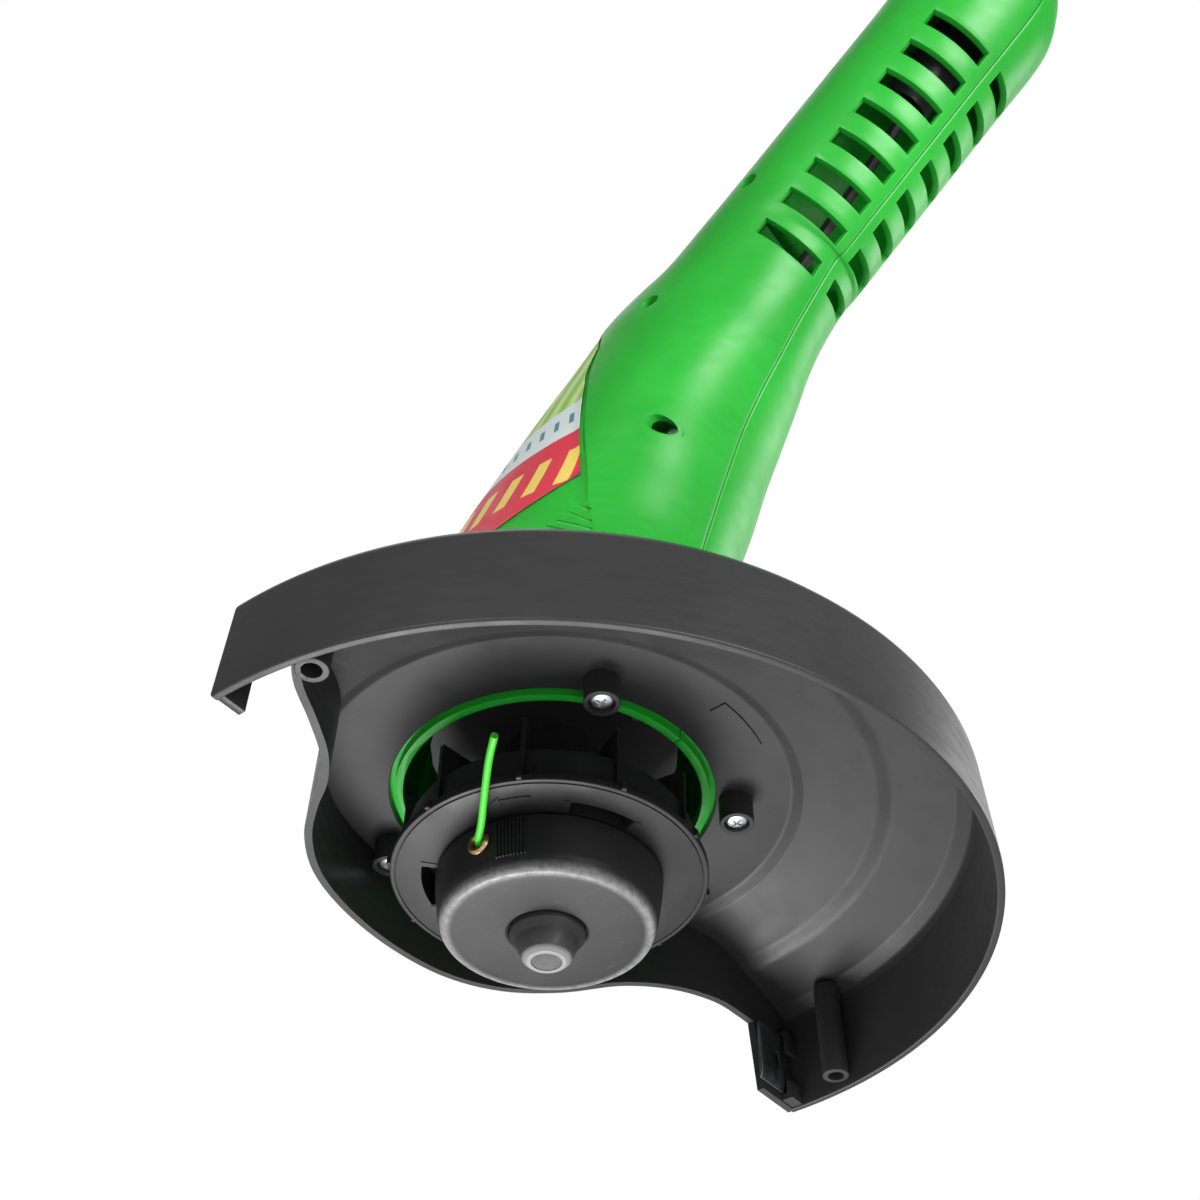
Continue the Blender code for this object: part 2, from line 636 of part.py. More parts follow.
def line_cutter():
    """Sharpened steel blade that trims the line, slotted into the guard's end."""
    body = box("line_cutter_blade", (-0.1450, 0.0034, 0.0122), (-0.1245, 0.0050, 0.0360))
    cut(body, box("blade_slot", (-0.1372, 0.0, 0.0225), (-0.1352, 0.01, 0.0275)))
    edge = body.modifiers.new("Edge", "BEVEL")
    edge.width = 0.0003
    edge.segments = 1
    finish(body, "steel")


def guard_screws():
    for index, degrees in enumerate(SCREW_ANGLES):
        spot = polar(SCREW_CIRCLE_R, math.radians(degrees))
        profile = [(0, 0.0860), (0.0012, 0.0860), (0.0020, 0.0830), (0.0020, 0.0602),
                   (0.0040, 0.0602), (0.0040, 0.0588), (0.0030, 0.0576), (0, 0.0574)]
        item = turned(f"guard_screw_{index + 1}", profile, 12)
        item.location = (*spot, 0)
        finish(item, "steel")


# ---------------------------------------------------------------- housing

def housing_rows():
    """Section rows of the motor housing and neck: front y, z, rear y, z, width, egg, power."""
    rows = [list(row) for row in HOUSING_SECTIONS]
    reach = [(NECK_START + (NECK_TAPER - NECK_START) * i / 4, NECK_R) for i in range(5)]
    reach += [(0.095, 0.0310), (0.106, 0.0240), (0.113, 0.0180), (NECK_END, 0.0157)]
    for distance, radius in reach:
        _, front_y, front_z = along_neck(distance, radius)
        _, rear_y, rear_z = along_neck(distance, -radius)
        rows.append([front_y, front_z, rear_y, rear_z, radius, 0.0, 2.0])
    return np.array(rows)


def section_point(row, turn, side):
    """A point of one section: turn runs from 0 at the front to pi at the rear."""
    front = Vector((0, row[0], row[1]))
    rear = Vector((0, row[2], row[3]))
    power = 2 / row[6]
    along = (1 - math.copysign(abs(math.cos(turn)) ** power, math.cos(turn))) / 2
    width = row[4] * math.sin(turn) ** power * (1 - row[5] * math.cos(turn))
    point = front.lerp(rear, along)
    point.x = side * (width + GAP / 2)
    return point


def loft(name, rows, side, places, turns):
    """An open surface through sections of one moulded half, facing outwards."""
    points = []
    for place in places:
        row = catmull(rows, place)
        points += [section_point(row, min(max(t, 1e-6), math.pi - 1e-6), side) for t in turns]
    across = len(turns)
    faces = []
    for i in range(len(places) - 1):
        for j in range(across - 1):
            a = i * across + j
            quad = [a, a + across, a + across + 1, a + 1]
            faces.append(quad if side < 0 else quad[::-1])
    return mesh_object(name, points, [], faces)


def half_turns(count):
    """Angles round half a section, with one very near each end so that the seam stays flat."""
    near = 0.06
    inner = np.linspace(0.32, math.pi - 0.32, count - 4)
    return [0.0, near, *inner, math.pi - near, math.pi]


def shell(item, wall):
    step = item.modifiers.new("Wall", "SOLIDIFY")
    step.thickness = wall
    step.offset = -1
    step.use_even_offset = True
    return item


def housing_base(name, side):
    """Floor over the guard, the round mouth that stands through it, and the screw bosses."""
    start, end = (-90, 90) if side > 0 else (90, 270)
    inner = MOUTH_R - MOUTH_WALL
    made = []
    for part, outer, low, high in (("floor", 0.0722, HOUSING_LOW, 0.0742),
                                   ("mouth", MOUTH_R, MOUTH_Z, 0.0735)):
        outline = arc(outer, start, end, 16) + arc(inner, end, start, 16)
        outline = [(x + side * SEAM_INSET, y) for x, y in outline]
        made.append(prism(f"{name}_{part}", outline, low, high))
    base = join(*made)
    for degrees in SCREW_ANGLES:
        spot = polar(SCREW_CIRCLE_R, math.radians(degrees))
        if spot[0] * side > 0:
            join(base, rod(f"{name}_boss_{degrees}", (*spot, 0.0725), (*spot, 0.0920), 0.0052, 12))
            cut(base, rod(f"{name}_bore_{degrees}", (*spot, 0.06), (*spot, 0.0880), 0.0023, 8))
    return base


def housing_half(name, side):
    rows = housing_rows()
    places = np.arange(len(rows))
    body = shell(loft(name, rows, side, places, half_turns(HOUSING_TURNS)), HOUSING_WALL)
    join(body, housing_base(name, side))
    for index in range(VENT_COUNT):
        middle = VENT_FIRST + VENT_PITCH * index
        near, far = sorted((side * 0.0055, side * 0.0500))
        vent = box(f"{name}_vent_{index}", (near, -VENT_WIDTH / 2, -0.050),
                   (far, VENT_WIDTH / 2, -0.0212))
        lean = Matrix.Translation(along_neck(middle)) @ Matrix.Rotation(NECK_ANGLE, 4, "X")
        vent.matrix_world = lean
        cut(body, vent)
    for index, (y, z, reach, seat) in enumerate(HOUSING_SCREWS):
        if side > 0:
            join(body, rod(f"{name}_post_{index}", (SEAM_INSET, y, z), (reach, y, z), 0.0054, 12))
            cut(body, rod(f"{name}_access_{index}", (seat, y, z), (0.09, y, z), 0.0042, 12))
            cut(body, rod(f"{name}_clear_{index}", (-0.005, y, z), (seat + 0.0015, y, z), 0.0021, 8))
        else:
            join(body, rod(f"{name}_post_{index}", (-SEAM_INSET, y, z), (-reach, y, z), 0.0054, 12))
            cut(body, rod(f"{name}_pilot_{index}", (0.005, y, z), (-0.0150, y, z), 0.0018, 8))
    finish(body, "green")


def housing_screws():
    for index, (y, z, _, seat) in enumerate(HOUSING_SCREWS):
        tip = seat + 0.0120
        profile = [(0, tip), (0.0008, tip), (0.0015, tip - 0.0025), (0.0015, 0.0001),
                   (0.0037, -0.0001), (0.0037, -0.0014), (0.0026, -0.0024), (0, -0.0026)]
        item = turned(f"housing_screw_{index + 1}", profile, 12)
        item.matrix_world = Matrix.Translation((seat + 0.0003, y, z)) @ Matrix.Rotation(-math.pi / 2, 4, "Y")
        finish(item, "steel")


def label(side_name, side):
    """A thin sticker on the flank of the hood."""
    rows = housing_rows()
    turns = half_turns(HOUSING_TURNS)[3:7]
    item = loft(f"label_{side_name}", rows, side, range(4, 9), turns)
    rise = item.modifiers.new("Rise", "DISPLACE")
    rise.mid_level = 0
    rise.strength = 0.0005
    step = item.modifiers.new("Lift", "SOLIDIFY")
    step.thickness = 0.0005
    step.offset = 1
    finish(item, "label")


# ---------------------------------------------------------------- tube and handles

def tube():
    item = rod("tube", along_neck(TUBE_START), along_neck(TUBE_END), TUBE_R, 32)
    cut(item, rod("tube_bore", along_neck(TUBE_START - 0.01), along_neck(TUBE_END + 0.01),
                  TUBE_R - TUBE_WALL, 32))
    finish(item, "black")


def handle_rows():
    rows = []
    y, z = along_neck(HANDLE_START)[1:]
    for travel, degrees, depth, width in HANDLE_ROWS:
        angle = math.radians(degrees)
        y += travel * math.cos(angle)
        z += travel * math.sin(angle)
        up = (-math.sin(angle), math.cos(angle))
        rows.append([y + up[0] * depth, z + up[1] * depth, y - up[0] * depth, z - up[1] * depth,
                     width, 0.0, 2.2])
    return np.array(rows)


def grip(s, v):
    """(y, z) of a point in the grip: s along it to the rear, v upwards from the middle."""
    y = GRIP_ORIGIN[0] + s * math.cos(GRIP_ANGLE) - v * math.sin(GRIP_ANGLE)
    z = GRIP_ORIGIN[1] + s * math.sin(GRIP_ANGLE) + v * math.cos(GRIP_ANGLE)
    return (y, z)


def trigger_outline():
    shape = [(-0.0240, -0.0150), (-0.0235, -0.0110), (-0.0200, -0.0085), (0.0000, -0.0090),
             (0.0200, -0.0100), (0.0330, -0.0120), (0.0345, -0.0300), (0.0310, -0.0395),
             (0.0180, -0.0370), (0.0000, -0.0335), (-0.0160, -0.0290), (-0.0225, -0.0220)]
    return [grip(s, v) for s, v in shape]


def trigger():
    body = side_plate("trigger", trigger_outline(), -0.0062, 0.0062)
    y, z = grip(*TRIGGER_PIVOT)
    cut(body, rod("trigger_bore", (-0.01, y, z), (0.01, y, z), 0.0018, 12))
    finish(body, "black")
    pin = rod("trigger_pin", (-0.0138, y, z), (0.0138, y, z), 0.0015, 12)
    finish(pin, "steel")


def handle_half(name, side):
    rows = handle_rows()
    places = np.arange(len(rows))
    body = shell(loft(name, rows, side, places, half_turns(10)), HANDLE_WALL)
    opening = [grip(-0.0270, -0.0120), grip(0.0375, -0.0120), grip(0.0375, -0.0480),
               grip(-0.0270, -0.0480)]
    cut(body, side_plate(f"{name}_trigger_gate", opening, -0.0068, 0.0068))
    for index, (s, v) in enumerate(HANDLE_SCREWS):
        y, z = grip(s, v)
        reach = 0.0160
        if side > 0:
            join(body, rod(f"{name}_post_{index}", (SEAM_INSET, y, z), (reach, y, z), 0.0046, 12))
            cut(body, rod(f"{name}_access_{index}", (0.0105, y, z), (0.03, y, z), 0.0033, 12))
            cut(body, rod(f"{name}_clear_{index}", (-0.005, y, z), (0.012, y, z), 0.0018, 12))
        else:
            join(body, rod(f"{name}_post_{index}", (-SEAM_INSET, y, z), (-reach, y, z), 0.0046, 12))
            cut(body, rod(f"{name}_pilot_{index}", (0.005, y, z), (-0.0120, y, z), 0.0016, 12))
    if side > 0:
        y, z = grip(*LOCK_PLACE)
        cut(body, rod(f"{name}_lock_hole", (0.005, y, z), (0.03, y, z), 0.0052, 16))
    finish(body, "black")


def handle_screws():
    for index, (s, v) in enumerate(HANDLE_SCREWS):
        y, z = grip(s, v)
        profile = [(0, 0.0210), (0.0007, 0.0210), (0.0013, 0.0190), (0.0013, 0.0001),
                   (0.0029, -0.0001), (0.0029, -0.0012), (0.0020, -0.0020), (0, -0.0021)]
        item = turned(f"handle_screw_{index + 1}", profile, 12)
        item.matrix_world = Matrix.Translation((0.0108, y, z)) @ Matrix.Rotation(-math.pi / 2, 4, "Y")
        finish(item, "steel")


def lock_button():
    y, z = grip(*LOCK_PLACE)
    profile = [(0, 0.0240), (0.0032, 0.0240), (0.0044, 0.0234), (0.0048, 0.0222),
               (0.0048, 0.0136), (0.0060, 0.0134), (0.0060, 0.0124), (0.0030, 0.0122),
               (0.0030, 0.0085), (0, 0.0085)]
    item = turned("lock_button", profile, 16)
    item.matrix_world = Matrix.Translation((0, y, z)) @ Matrix.Rotation(math.pi / 2, 4, "Y")
    finish(item, "black")
    spring = wire("lock_spring", helix(0.0037, 0.0072, 0.0116, 2, 7), 0.0003, 1)
    spring.matrix_world = item.matrix_world.copy()
    finish(spring, "steel")


def switch():
    """Switch block over the trigger, with the plunger that the trigger presses."""
    outline = [grip(0.0120, -0.0030), grip(0.0420, -0.0030), grip(0.0420, 0.0125),
               grip(0.0120, 0.0125)]
    body = side_plate("switch", outline, -0.0085, 0.0062)
    pocket = [grip(0.0234, -0.0050), grip(0.0296, -0.0050), grip(0.0296, 0.0035),
              grip(0.0234, 0.0035)]
    cut(body, side_plate("plunger_pocket", pocket, -0.0030, 0.0030))
    finish(body, "black")
    stem = [grip(0.0240, -0.0100), grip(0.0290, -0.0105), grip(0.0290, -0.0034),
            grip(0.0240, -0.0034)]
    finish(side_plate("switch_plunger", stem, -0.0025, 0.0025), "white")
    spring = wire("trigger_spring", helix(0.0026, -0.0085, 0.0020, 3, 6), 0.0004, 1)
    y, z = grip(0.0050, 0.0)
    spring.matrix_world = Matrix.Translation((0, y, z)) @ Matrix.Rotation(GRIP_ANGLE, 4, "X")
    finish(spring, "steel")


def cord_gland():
    """Bushing that the mains lead would enter by, in the butt of the handle."""
    rows = handle_rows()
    last = rows[-1]
    y = (last[0] + last[2]) / 2
    z = (last[1] + last[3]) / 2
    profile = [(0.0050, 0.0160), (0.0066, 0.0030), (0.0090, 0.0030), (0.0090, 0.0006),
               (0.0063, 0.0003), (0.0063, -0.0060), (0.0036, -0.0060), (0.0036, 0.0160)]
    item = turned("cord_gland", profile, 18, True)
    lean = math.radians(HANDLE_ROWS[-1][1])
    item.matrix_world = Matrix.Translation((0, y, z)) @ Matrix.Rotation(lean - math.pi / 2, 4, "X")
    finish(item, "black")


def motor_lead():
    """Two-core lead from the brush gear up the neck and tube to the switch, held all the way."""
    knots = [(0.0, 0.0300, 0.2000), (0.0, 0.0640, 0.2360), along_neck(-0.095, -0.018),
             along_neck(-0.050, -0.013), along_neck(0.0, -0.007), along_neck(0.050, 0.0),
             along_neck(0.200, 0.0), along_neck(0.400, 0.0),
             along_neck(0.600, 0.0), along_neck(0.665, 0.002), (0, *grip(-0.030, 0.0010)),
             (0, *grip(-0.005, 0.0060)), (0, *grip(0.0110, 0.0070))]
    finish(wire("motor_lead", smooth_path(knots, 32), 0.0028), "black")


def loop_handle():
    """Auxiliary handle: a bent tube that straddles the clamp and turns on its bolt."""
    hub = Vector(along_neck(CLAMP_AT, 0.032))
    forward = Vector(along_neck(1.0)) - Vector(along_neck(0.0))
    rise = (Vector((0, -math.sin(NECK_ANGLE), math.cos(NECK_ANGLE))) * 0.94
            - forward * 0.34).normalized()
    shape = [(0.0300, 0.000), (0.0302, 0.024), (0.0460, 0.050), (0.0660, 0.074), (0.0690, 0.100),
             (0.0560, 0.124), (0.0300, 0.134), (0.0, 0.136)]
    full = shape + [(-x, v) for x, v in reversed(shape[:-1])]
    points = [tuple(hub + rise * v + Vector((x, 0, 0))) for x, v in smooth_path(full, 23)]
    body = as_mesh(wire("loop_handle", points, LOOP_R, 2))
    for sign in (1, -1):
        near = hub + Vector((sign * 0.0170, 0, 0))
        far = hub + Vector((sign * 0.0430, 0, 0))
        join(body, rod(f"loop_eye_{sign}", near, far, 0.0125, 16))
        cut(body, rod(f"loop_bore_{sign}", near - Vector((sign * 0.01, 0, 0)),
                      far + Vector((sign * 0.01, 0, 0)), 0.0043, 16))
    finish(body, "black")


def handle_clamp():
    hub = Vector(along_neck(CLAMP_AT, 0.032))
    low = Vector(along_neck(CLAMP_AT - 0.019))
    high = Vector(along_neck(CLAMP_AT + 0.019))
    body = rod("handle_clamp", low, high, 0.0185, 32)
    outline = [along_neck(CLAMP_AT + s, v)[1:] for s, v in
               ((-0.0140, 0.0), (0.0140, 0.0), (0.0125, 0.034), (0.0090, 0.042),
                (0.0, 0.0450), (-0.0090, 0.042), (-0.0125, 0.034))]
    join(body, side_plate("clamp_web", outline, -0.0165, 0.0165))
    cut(body, rod("clamp_tube_bore", along_neck(CLAMP_AT - 0.03), along_neck(CLAMP_AT + 0.03),
                  TUBE_R + GAP, 32))
    cut(body, rod("clamp_bolt_bore", hub - Vector((0.03, 0, 0)), hub + Vector((0.03, 0, 0)),
                  0.0043, 16))
    finish(body, "black")
    bolt = rod("clamp_bolt", hub - Vector((0.0520, 0, 0)), hub + Vector((0.0540, 0, 0)), 0.0040, 16)
    join(bolt, rod("bolt_hex", hub - Vector((0.0520, 0, 0)), hub - Vector((0.0434, 0, 0)),
                   0.0075, 6))
    finish(bolt, "steel")
    clamp_knob(hub)


def clamp_knob(hub):
    """Star knob on the bolt, with six lobes."""
    outline = []
    for step in range(36):
        turn = 2 * math.pi * step / 36
        outline.append(polar(0.0165 + 0.0020 * math.cos(6 * turn), turn))
    knob = prism("clamp_knob", outline, 0.0434, 0.0580)
    knob.data.transform(knob.matrix_world)
    knob.matrix_world = Matrix.Translation(hub) @ Matrix.Rotation(math.pi / 2, 4, "Y")
    edge = knob.modifiers.new("Edge", "BEVEL")
    edge.width = 0.0015
    edge.segments = 1
    edge.limit_method = "ANGLE"
    edge.angle_limit = math.radians(50)
    bore = rod("knob_bore", hub + Vector((0.04, 0, 0)), hub + Vector((0.0545, 0, 0)), 0.0043, 16)
    finish(cut(knob, bore), "black")


def build():
    bump_button()
    spool_cap()
    eyelet()
    cutting_line()
    spool()
    wound_line()
    feed_spring()
    fan_carrier()
    carrier_nut()
    motor_shaft()
    armature()
    commutator()
    stator_core()
    field_coils()
    motor_frames()
    motor_bolts()
    brush_gear()
    guard()
    line_cutter()
    guard_screws()
    for name, side in SIDES.items():
        housing_half(f"housing_{name}", side)
        label(name, side)
        handle_half(f"handle_{name}", side)
    housing_screws()
    tube()
    trigger()
    handle_screws()
    lock_button()
    switch()
    cord_gland()
    motor_lead()
    loop_handle()
    handle_clamp()


clear_scene()
PARTS = make_collection("string_trimmer")
CUTTERS = make_collection("cutters")
CUTTERS.hide_render = True
build()
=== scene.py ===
"""Looks of the string trimmer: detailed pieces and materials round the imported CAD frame.

All lengths are metres in the CAD frame: origin at the bump button's foot, +Z up the spin axis,
+Y to the operator.
"""
import json
import math

import bmesh
import bpy
import numpy as np
from mathutils import Matrix, Vector


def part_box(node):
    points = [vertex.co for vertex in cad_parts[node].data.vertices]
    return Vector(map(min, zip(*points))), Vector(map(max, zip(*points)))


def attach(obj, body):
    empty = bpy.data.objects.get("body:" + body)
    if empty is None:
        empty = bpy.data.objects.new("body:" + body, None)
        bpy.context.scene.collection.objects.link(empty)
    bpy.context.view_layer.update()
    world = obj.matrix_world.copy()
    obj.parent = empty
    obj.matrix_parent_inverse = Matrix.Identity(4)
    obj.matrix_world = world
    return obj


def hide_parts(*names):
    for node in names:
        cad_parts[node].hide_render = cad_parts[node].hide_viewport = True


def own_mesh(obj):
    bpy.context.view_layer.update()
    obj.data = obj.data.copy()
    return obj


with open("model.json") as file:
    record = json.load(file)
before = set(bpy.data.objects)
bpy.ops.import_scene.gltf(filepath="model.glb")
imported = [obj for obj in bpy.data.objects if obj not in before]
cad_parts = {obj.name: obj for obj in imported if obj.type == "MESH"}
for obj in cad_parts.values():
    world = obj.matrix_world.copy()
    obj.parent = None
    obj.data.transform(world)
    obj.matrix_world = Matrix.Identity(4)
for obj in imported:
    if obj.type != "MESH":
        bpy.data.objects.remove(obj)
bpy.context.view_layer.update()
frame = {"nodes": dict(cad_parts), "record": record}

SCENE = bpy.context.scene
TAU = 2 * math.pi
BODY_OF = {node: body for body, nodes in frame["record"]["behaviour"]["bodies"].items()
           for node in nodes}
SLOT_OF = {part["node"]: part["material_slot"] for part in frame["record"]["subparts"]}

# ---------------------------------------------------------------- camera, world, lights

CAMERA_PLACE = (0.32826, 0.27544, -0.27329)
CAMERA_RIGHT = (-0.606820, 0.794802, 0.007670)
CAMERA_UP = (0.576455, 0.433430, 0.692704)
FLOOR_Z = -0.62
ROOM_LIGHT = 0.17


def linked(name, data):
    """A new object of this data, in the scene."""
    item = bpy.data.objects.new(name, data)
    SCENE.collection.objects.link(item)
    return item


def make_camera():
    data = bpy.data.cameras.new("camera")
    data.lens = 45
    data.sensor_width = 36
    data.clip_start = 0.01
    data.clip_end = 50
    camera = linked("camera", data)
    right = Vector(CAMERA_RIGHT).normalized()
    back = right.cross(Vector(CAMERA_UP)).normalized()
    up = back.cross(right)
    turn = Matrix((right, up, back)).transposed().to_4x4()
    camera.matrix_world = Matrix.Translation(CAMERA_PLACE) @ turn
    SCENE.camera = camera


def area_light(name, place, target, size, power):
    data = bpy.data.lights.new(name, "AREA")
    data.shape = "DISK"
    data.size = size
    data.energy = power
    lamp = linked(name, data)
    way = Vector(target) - Vector(place)
    lamp.matrix_world = Matrix.Translation(place) @ way.to_track_quat("-Z", "Y").to_matrix().to_4x4()


def white_backdrop(world):
    """A white paper behind the part, and a dimmer room all round."""
    world.use_nodes = True
    tree = world.node_tree
    way = tree.nodes.new("ShaderNodeVectorMath")
    way.operation = "DOT_PRODUCT"
    way.inputs[1].default_value = Vector(CAMERA_UP).cross(Vector(CAMERA_RIGHT)).normalized()
    place = tree.nodes.new("ShaderNodeTexCoord")
    tree.links.new(place.outputs["Generated"], way.inputs[0])
    paper = tree.nodes.new("ShaderNodeMapRange")
    paper.interpolation_type = "SMOOTHSTEP"
    for key, value in (("From Min", 0.66), ("From Max", 0.84), ("To Min", ROOM_LIGHT),
                       ("To Max", 1.0)):
        paper.inputs[key].default_value = value
    tree.links.new(way.outputs["Value"], paper.inputs["Value"])
    tree.links.new(paper.outputs["Result"], tree.nodes["Background"].inputs["Strength"])
    tree.nodes["Background"].inputs["Color"].default_value = (1.0, 1.0, 1.0, 1.0)


def make_stage():
    world = bpy.data.worlds.new("studio")
    SCENE.world = world
    white_backdrop(world)
    area_light("key", (0.35, 1.20, 0.10), (0.0, 0.05, 0.12), 0.7, 12)
    area_light("side", (1.20, 0.35, 0.25), (0.0, 0.05, 0.20), 0.6, 5)
    area_light("rim", (-0.90, 0.55, 0.45), (0.0, 0.05, 0.10), 0.6, 3)
    area_light("under", (-0.16, -0.24, -0.50), (0.0, 0.0, 0.05), 0.38, 4.5)
    SCENE.view_settings.view_transform = "Standard"
    floor = mesh_object("floor", [(-4, -4, FLOOR_Z), (4, -4, FLOOR_Z), (4, 4, FLOOR_Z),
                                  (-4, 4, FLOOR_Z)], [(0, 1, 2, 3)])
    pale = bpy.data.materials.new("floor_paint")
    pale.use_nodes = True
    shader = pale.node_tree.nodes["Principled BSDF"]
    shader.inputs["Base Color"].default_value = (0.86, 0.86, 0.86, 1)
    shader.inputs["Roughness"].default_value = 0.7
    floor.data.materials.append(pale)


# ---------------------------------------------------------------- mesh helpers

def mesh_object(name, points, faces):
    mesh = bpy.data.meshes.new(name)
    mesh.from_pydata([tuple(p) for p in points], [], faces)
    mesh.update()
    return linked(name, mesh)


def weld(item, distance=1e-6):
    body = bmesh.new()
    body.from_mesh(item.data)
    bmesh.ops.remove_doubles(body, verts=body.verts, dist=distance)
    bmesh.ops.dissolve_degenerate(body, edges=body.edges, dist=distance)
    body.to_mesh(item.data)
    body.free()
    return item


def placed(item, matrix):
    item.data.transform(matrix)
    return item


def facing(way):
    """The turn that takes +Z to a direction."""
    return Vector((0, 0, 1)).rotation_difference(way).to_matrix().to_4x4()


def upright(degrees):
    """The turn that stands a flat outline up, its x pointing out at an angle."""
    return Matrix.Rotation(math.radians(degrees), 4, "Z") @ Matrix.Rotation(math.pi / 2, 4, "X")


def settle(item):
    """Apply an object's modifiers, so that its mesh is final."""
    bpy.context.view_layer.update()
    seen = item.evaluated_get(bpy.context.evaluated_depsgraph_get())
    mesh = bpy.data.meshes.new_from_object(seen)
    item.modifiers.clear()
    item.data = mesh
    return item


def gathered(tools):
    """One object of several separate closed shapes."""
    body = bmesh.new()
    for tool in tools:
        body.from_mesh(tool.data)
    mesh = bpy.data.meshes.new("tools")
    body.to_mesh(mesh)
    body.free()
    for tool in tools:
        bpy.data.objects.remove(tool)
    return linked("tools", mesh)


def combine(item, tools, operation):
    """Boolean with shapes that don't touch each other, then remove them."""
    tool = gathered(tools)
    step = item.modifiers.new("combine", "BOOLEAN")
    step.operation = operation
    step.solver = "MANIFOLD"
    step.object = tool
    settle(item)
    bpy.data.objects.remove(tool)
    return item


def join(item, *tools):
    return combine(item, tools, "UNION")


def cut(item, *tools):
    return combine(item, tools, "DIFFERENCE")


def rounded_edges(item, width, segments=2, angle=35):
    step = item.modifiers.new("edges", "BEVEL")
    step.width = width
    step.segments = segments
    step.limit_method = "ANGLE"
    step.angle_limit = math.radians(angle)
    step.use_clamp_overlap = True
    step.harden_normals = False
    return settle(item)


def thicken(item, wall, even=True):
    """Give an open surface a wall on its inner side."""
    step = item.modifiers.new("wall", "SOLIDIFY")
    step.thickness = wall
    step.offset = -1
    step.use_even_offset = even
    return settle(item)


def fillet(points, radii, closed=False, steps=5):
    """A 2D outline with its corners rounded. radii is one number or one for each point."""
    rows = [np.array(p, float) for p in points]
    count = len(rows)
    sizes = [radii] * count if isinstance(radii, (int, float)) else list(radii)
    made = []
    for i, corner in enumerate(rows):
        end = not closed and i in (0, count - 1)
        before = rows[i - 1] - corner
        after = rows[(i + 1) % count] - corner
        far = min(np.linalg.norm(before), np.linalg.norm(after))
        if end or sizes[i] <= 0 or far < 1e-7:
            made.append(tuple(corner))
            continue
        u = before / np.linalg.norm(before)
        v = after / np.linalg.norm(after)
        half = math.acos(max(-1.0, min(1.0, float(u @ v)))) / 2
        if half > 1.54:
            made.append(tuple(corner))
            continue
        reach = min(sizes[i] / math.tan(half), 0.48 * far)
        start, stop = corner + u * reach, corner + v * reach
        for k in range(steps + 1):
            f = k / steps
            point = (1 - f) ** 2 * start + 2 * f * (1 - f) * corner + f ** 2 * stop
            made.append(tuple(point))
    return made


def lathe(name, profile, steps=128, closed=False):
    """A turned shape about Z, from a profile that runs down its outer side."""
    rows = list(profile) + ([profile[0]] if closed else [])
    turns = np.linspace(0, TAU, steps, endpoint=False)
    points = [(r * math.cos(t), r * math.sin(t), z) for r, z in rows for t in turns]
    faces = []
    for i in range(len(rows) - 1):
        for j in range(steps):
            k = (j + 1) % steps
            faces.append((i * steps + j, (i + 1) * steps + j, (i + 1) * steps + k, i * steps + k))
    return weld(mesh_object(name, points, faces))


def rod(name, start, end, radius, steps=48, edge=0.0):
    """A cylinder between two points, with rounded ends where edge is given."""
    start, end = Vector(start), Vector(end)
    way = end - start
    profile = [(0, way.length), (radius, way.length), (radius, 0), (0, 0)]
    item = lathe(name, fillet(profile, (0, edge, edge, 0)), steps)
    return placed(item, Matrix.Translation(start) @ facing(way))


def box(name, low, high):
    body = bmesh.new()
    bmesh.ops.create_cube(body, size=1.0)
    size = [b - a for a, b in zip(low, high)]
    middle = [(a + b) / 2 for a, b in zip(low, high)]
    bmesh.ops.scale(body, vec=size, verts=body.verts)
    bmesh.ops.translate(body, vec=middle, verts=body.verts)
    mesh = bpy.data.meshes.new(name)
    body.to_mesh(mesh)
    body.free()
    return linked(name, mesh)


def prism(name, outline, low, high, place=None):
    """A flat outline in XY, extruded from low to high."""
    count = len(outline)
    points = [(x, y, low) for x, y in outline] + [(x, y, high) for x, y in outline]
    area = sum(outline[i - 1][0] * outline[i][1] - outline[i][0] * outline[i - 1][1]
               for i in range(count))
    order = list(range(count)) if area > 0 else list(range(count))[::-1]
    faces = [tuple(order[::-1]), tuple(i + count for i in order)]
    for a, b in zip(order, order[1:] + order[:1]):
        faces.append((a, b, b + count, a + count))
    item = mesh_object(name, points, faces)
    return placed(item, place) if place else item


SIDEWAYS = Matrix(((0, 0, 1, 0), (1, 0, 0, 0), (0, 1, 0, 0), (0, 0, 0, 1)))


def side_plate(name, outline, low, high):
    """A flat outline in (y, z), extruded along X from low to high."""
    return prism(name, outline, low, high, SIDEWAYS)


def sweep(name, path, radii, sides=40, across=None):
    """A round bar along a path, with a radius at each point and closed ends."""
    rows = [Vector(p) for p in path]
    sizes = [radii] * len(rows) if isinstance(radii, float) else radii
    side = Vector(across or (1, 0, 0))
    points = []
    for i, centre in enumerate(rows):
        way = (rows[min(i + 1, len(rows) - 1)] - rows[max(i - 1, 0)]).normalized()
        side = (side - way * side.dot(way)).normalized()
        up = way.cross(side)
        for j in range(sides):
            turn = TAU * j / sides
            points.append(centre + (side * math.cos(turn) + up * math.sin(turn)) * sizes[i])
    faces = []
    for i in range(len(rows) - 1):
        for j in range(sides):
            k = (j + 1) % sides
            faces.append((i * sides + j, i * sides + k, (i + 1) * sides + k, (i + 1) * sides + j))
    faces.append(tuple(range(sides))[::-1])
    faces.append(tuple((len(rows) - 1) * sides + j for j in range(sides)))
    return mesh_object(name, points, faces)


def polar(radius, degrees):
    turn = math.radians(degrees)
    return (radius * math.cos(turn), radius * math.sin(turn))


def arc(radius, start, end, count):
    return [polar(radius, start + (end - start) * i / count) for i in range(count + 1)]


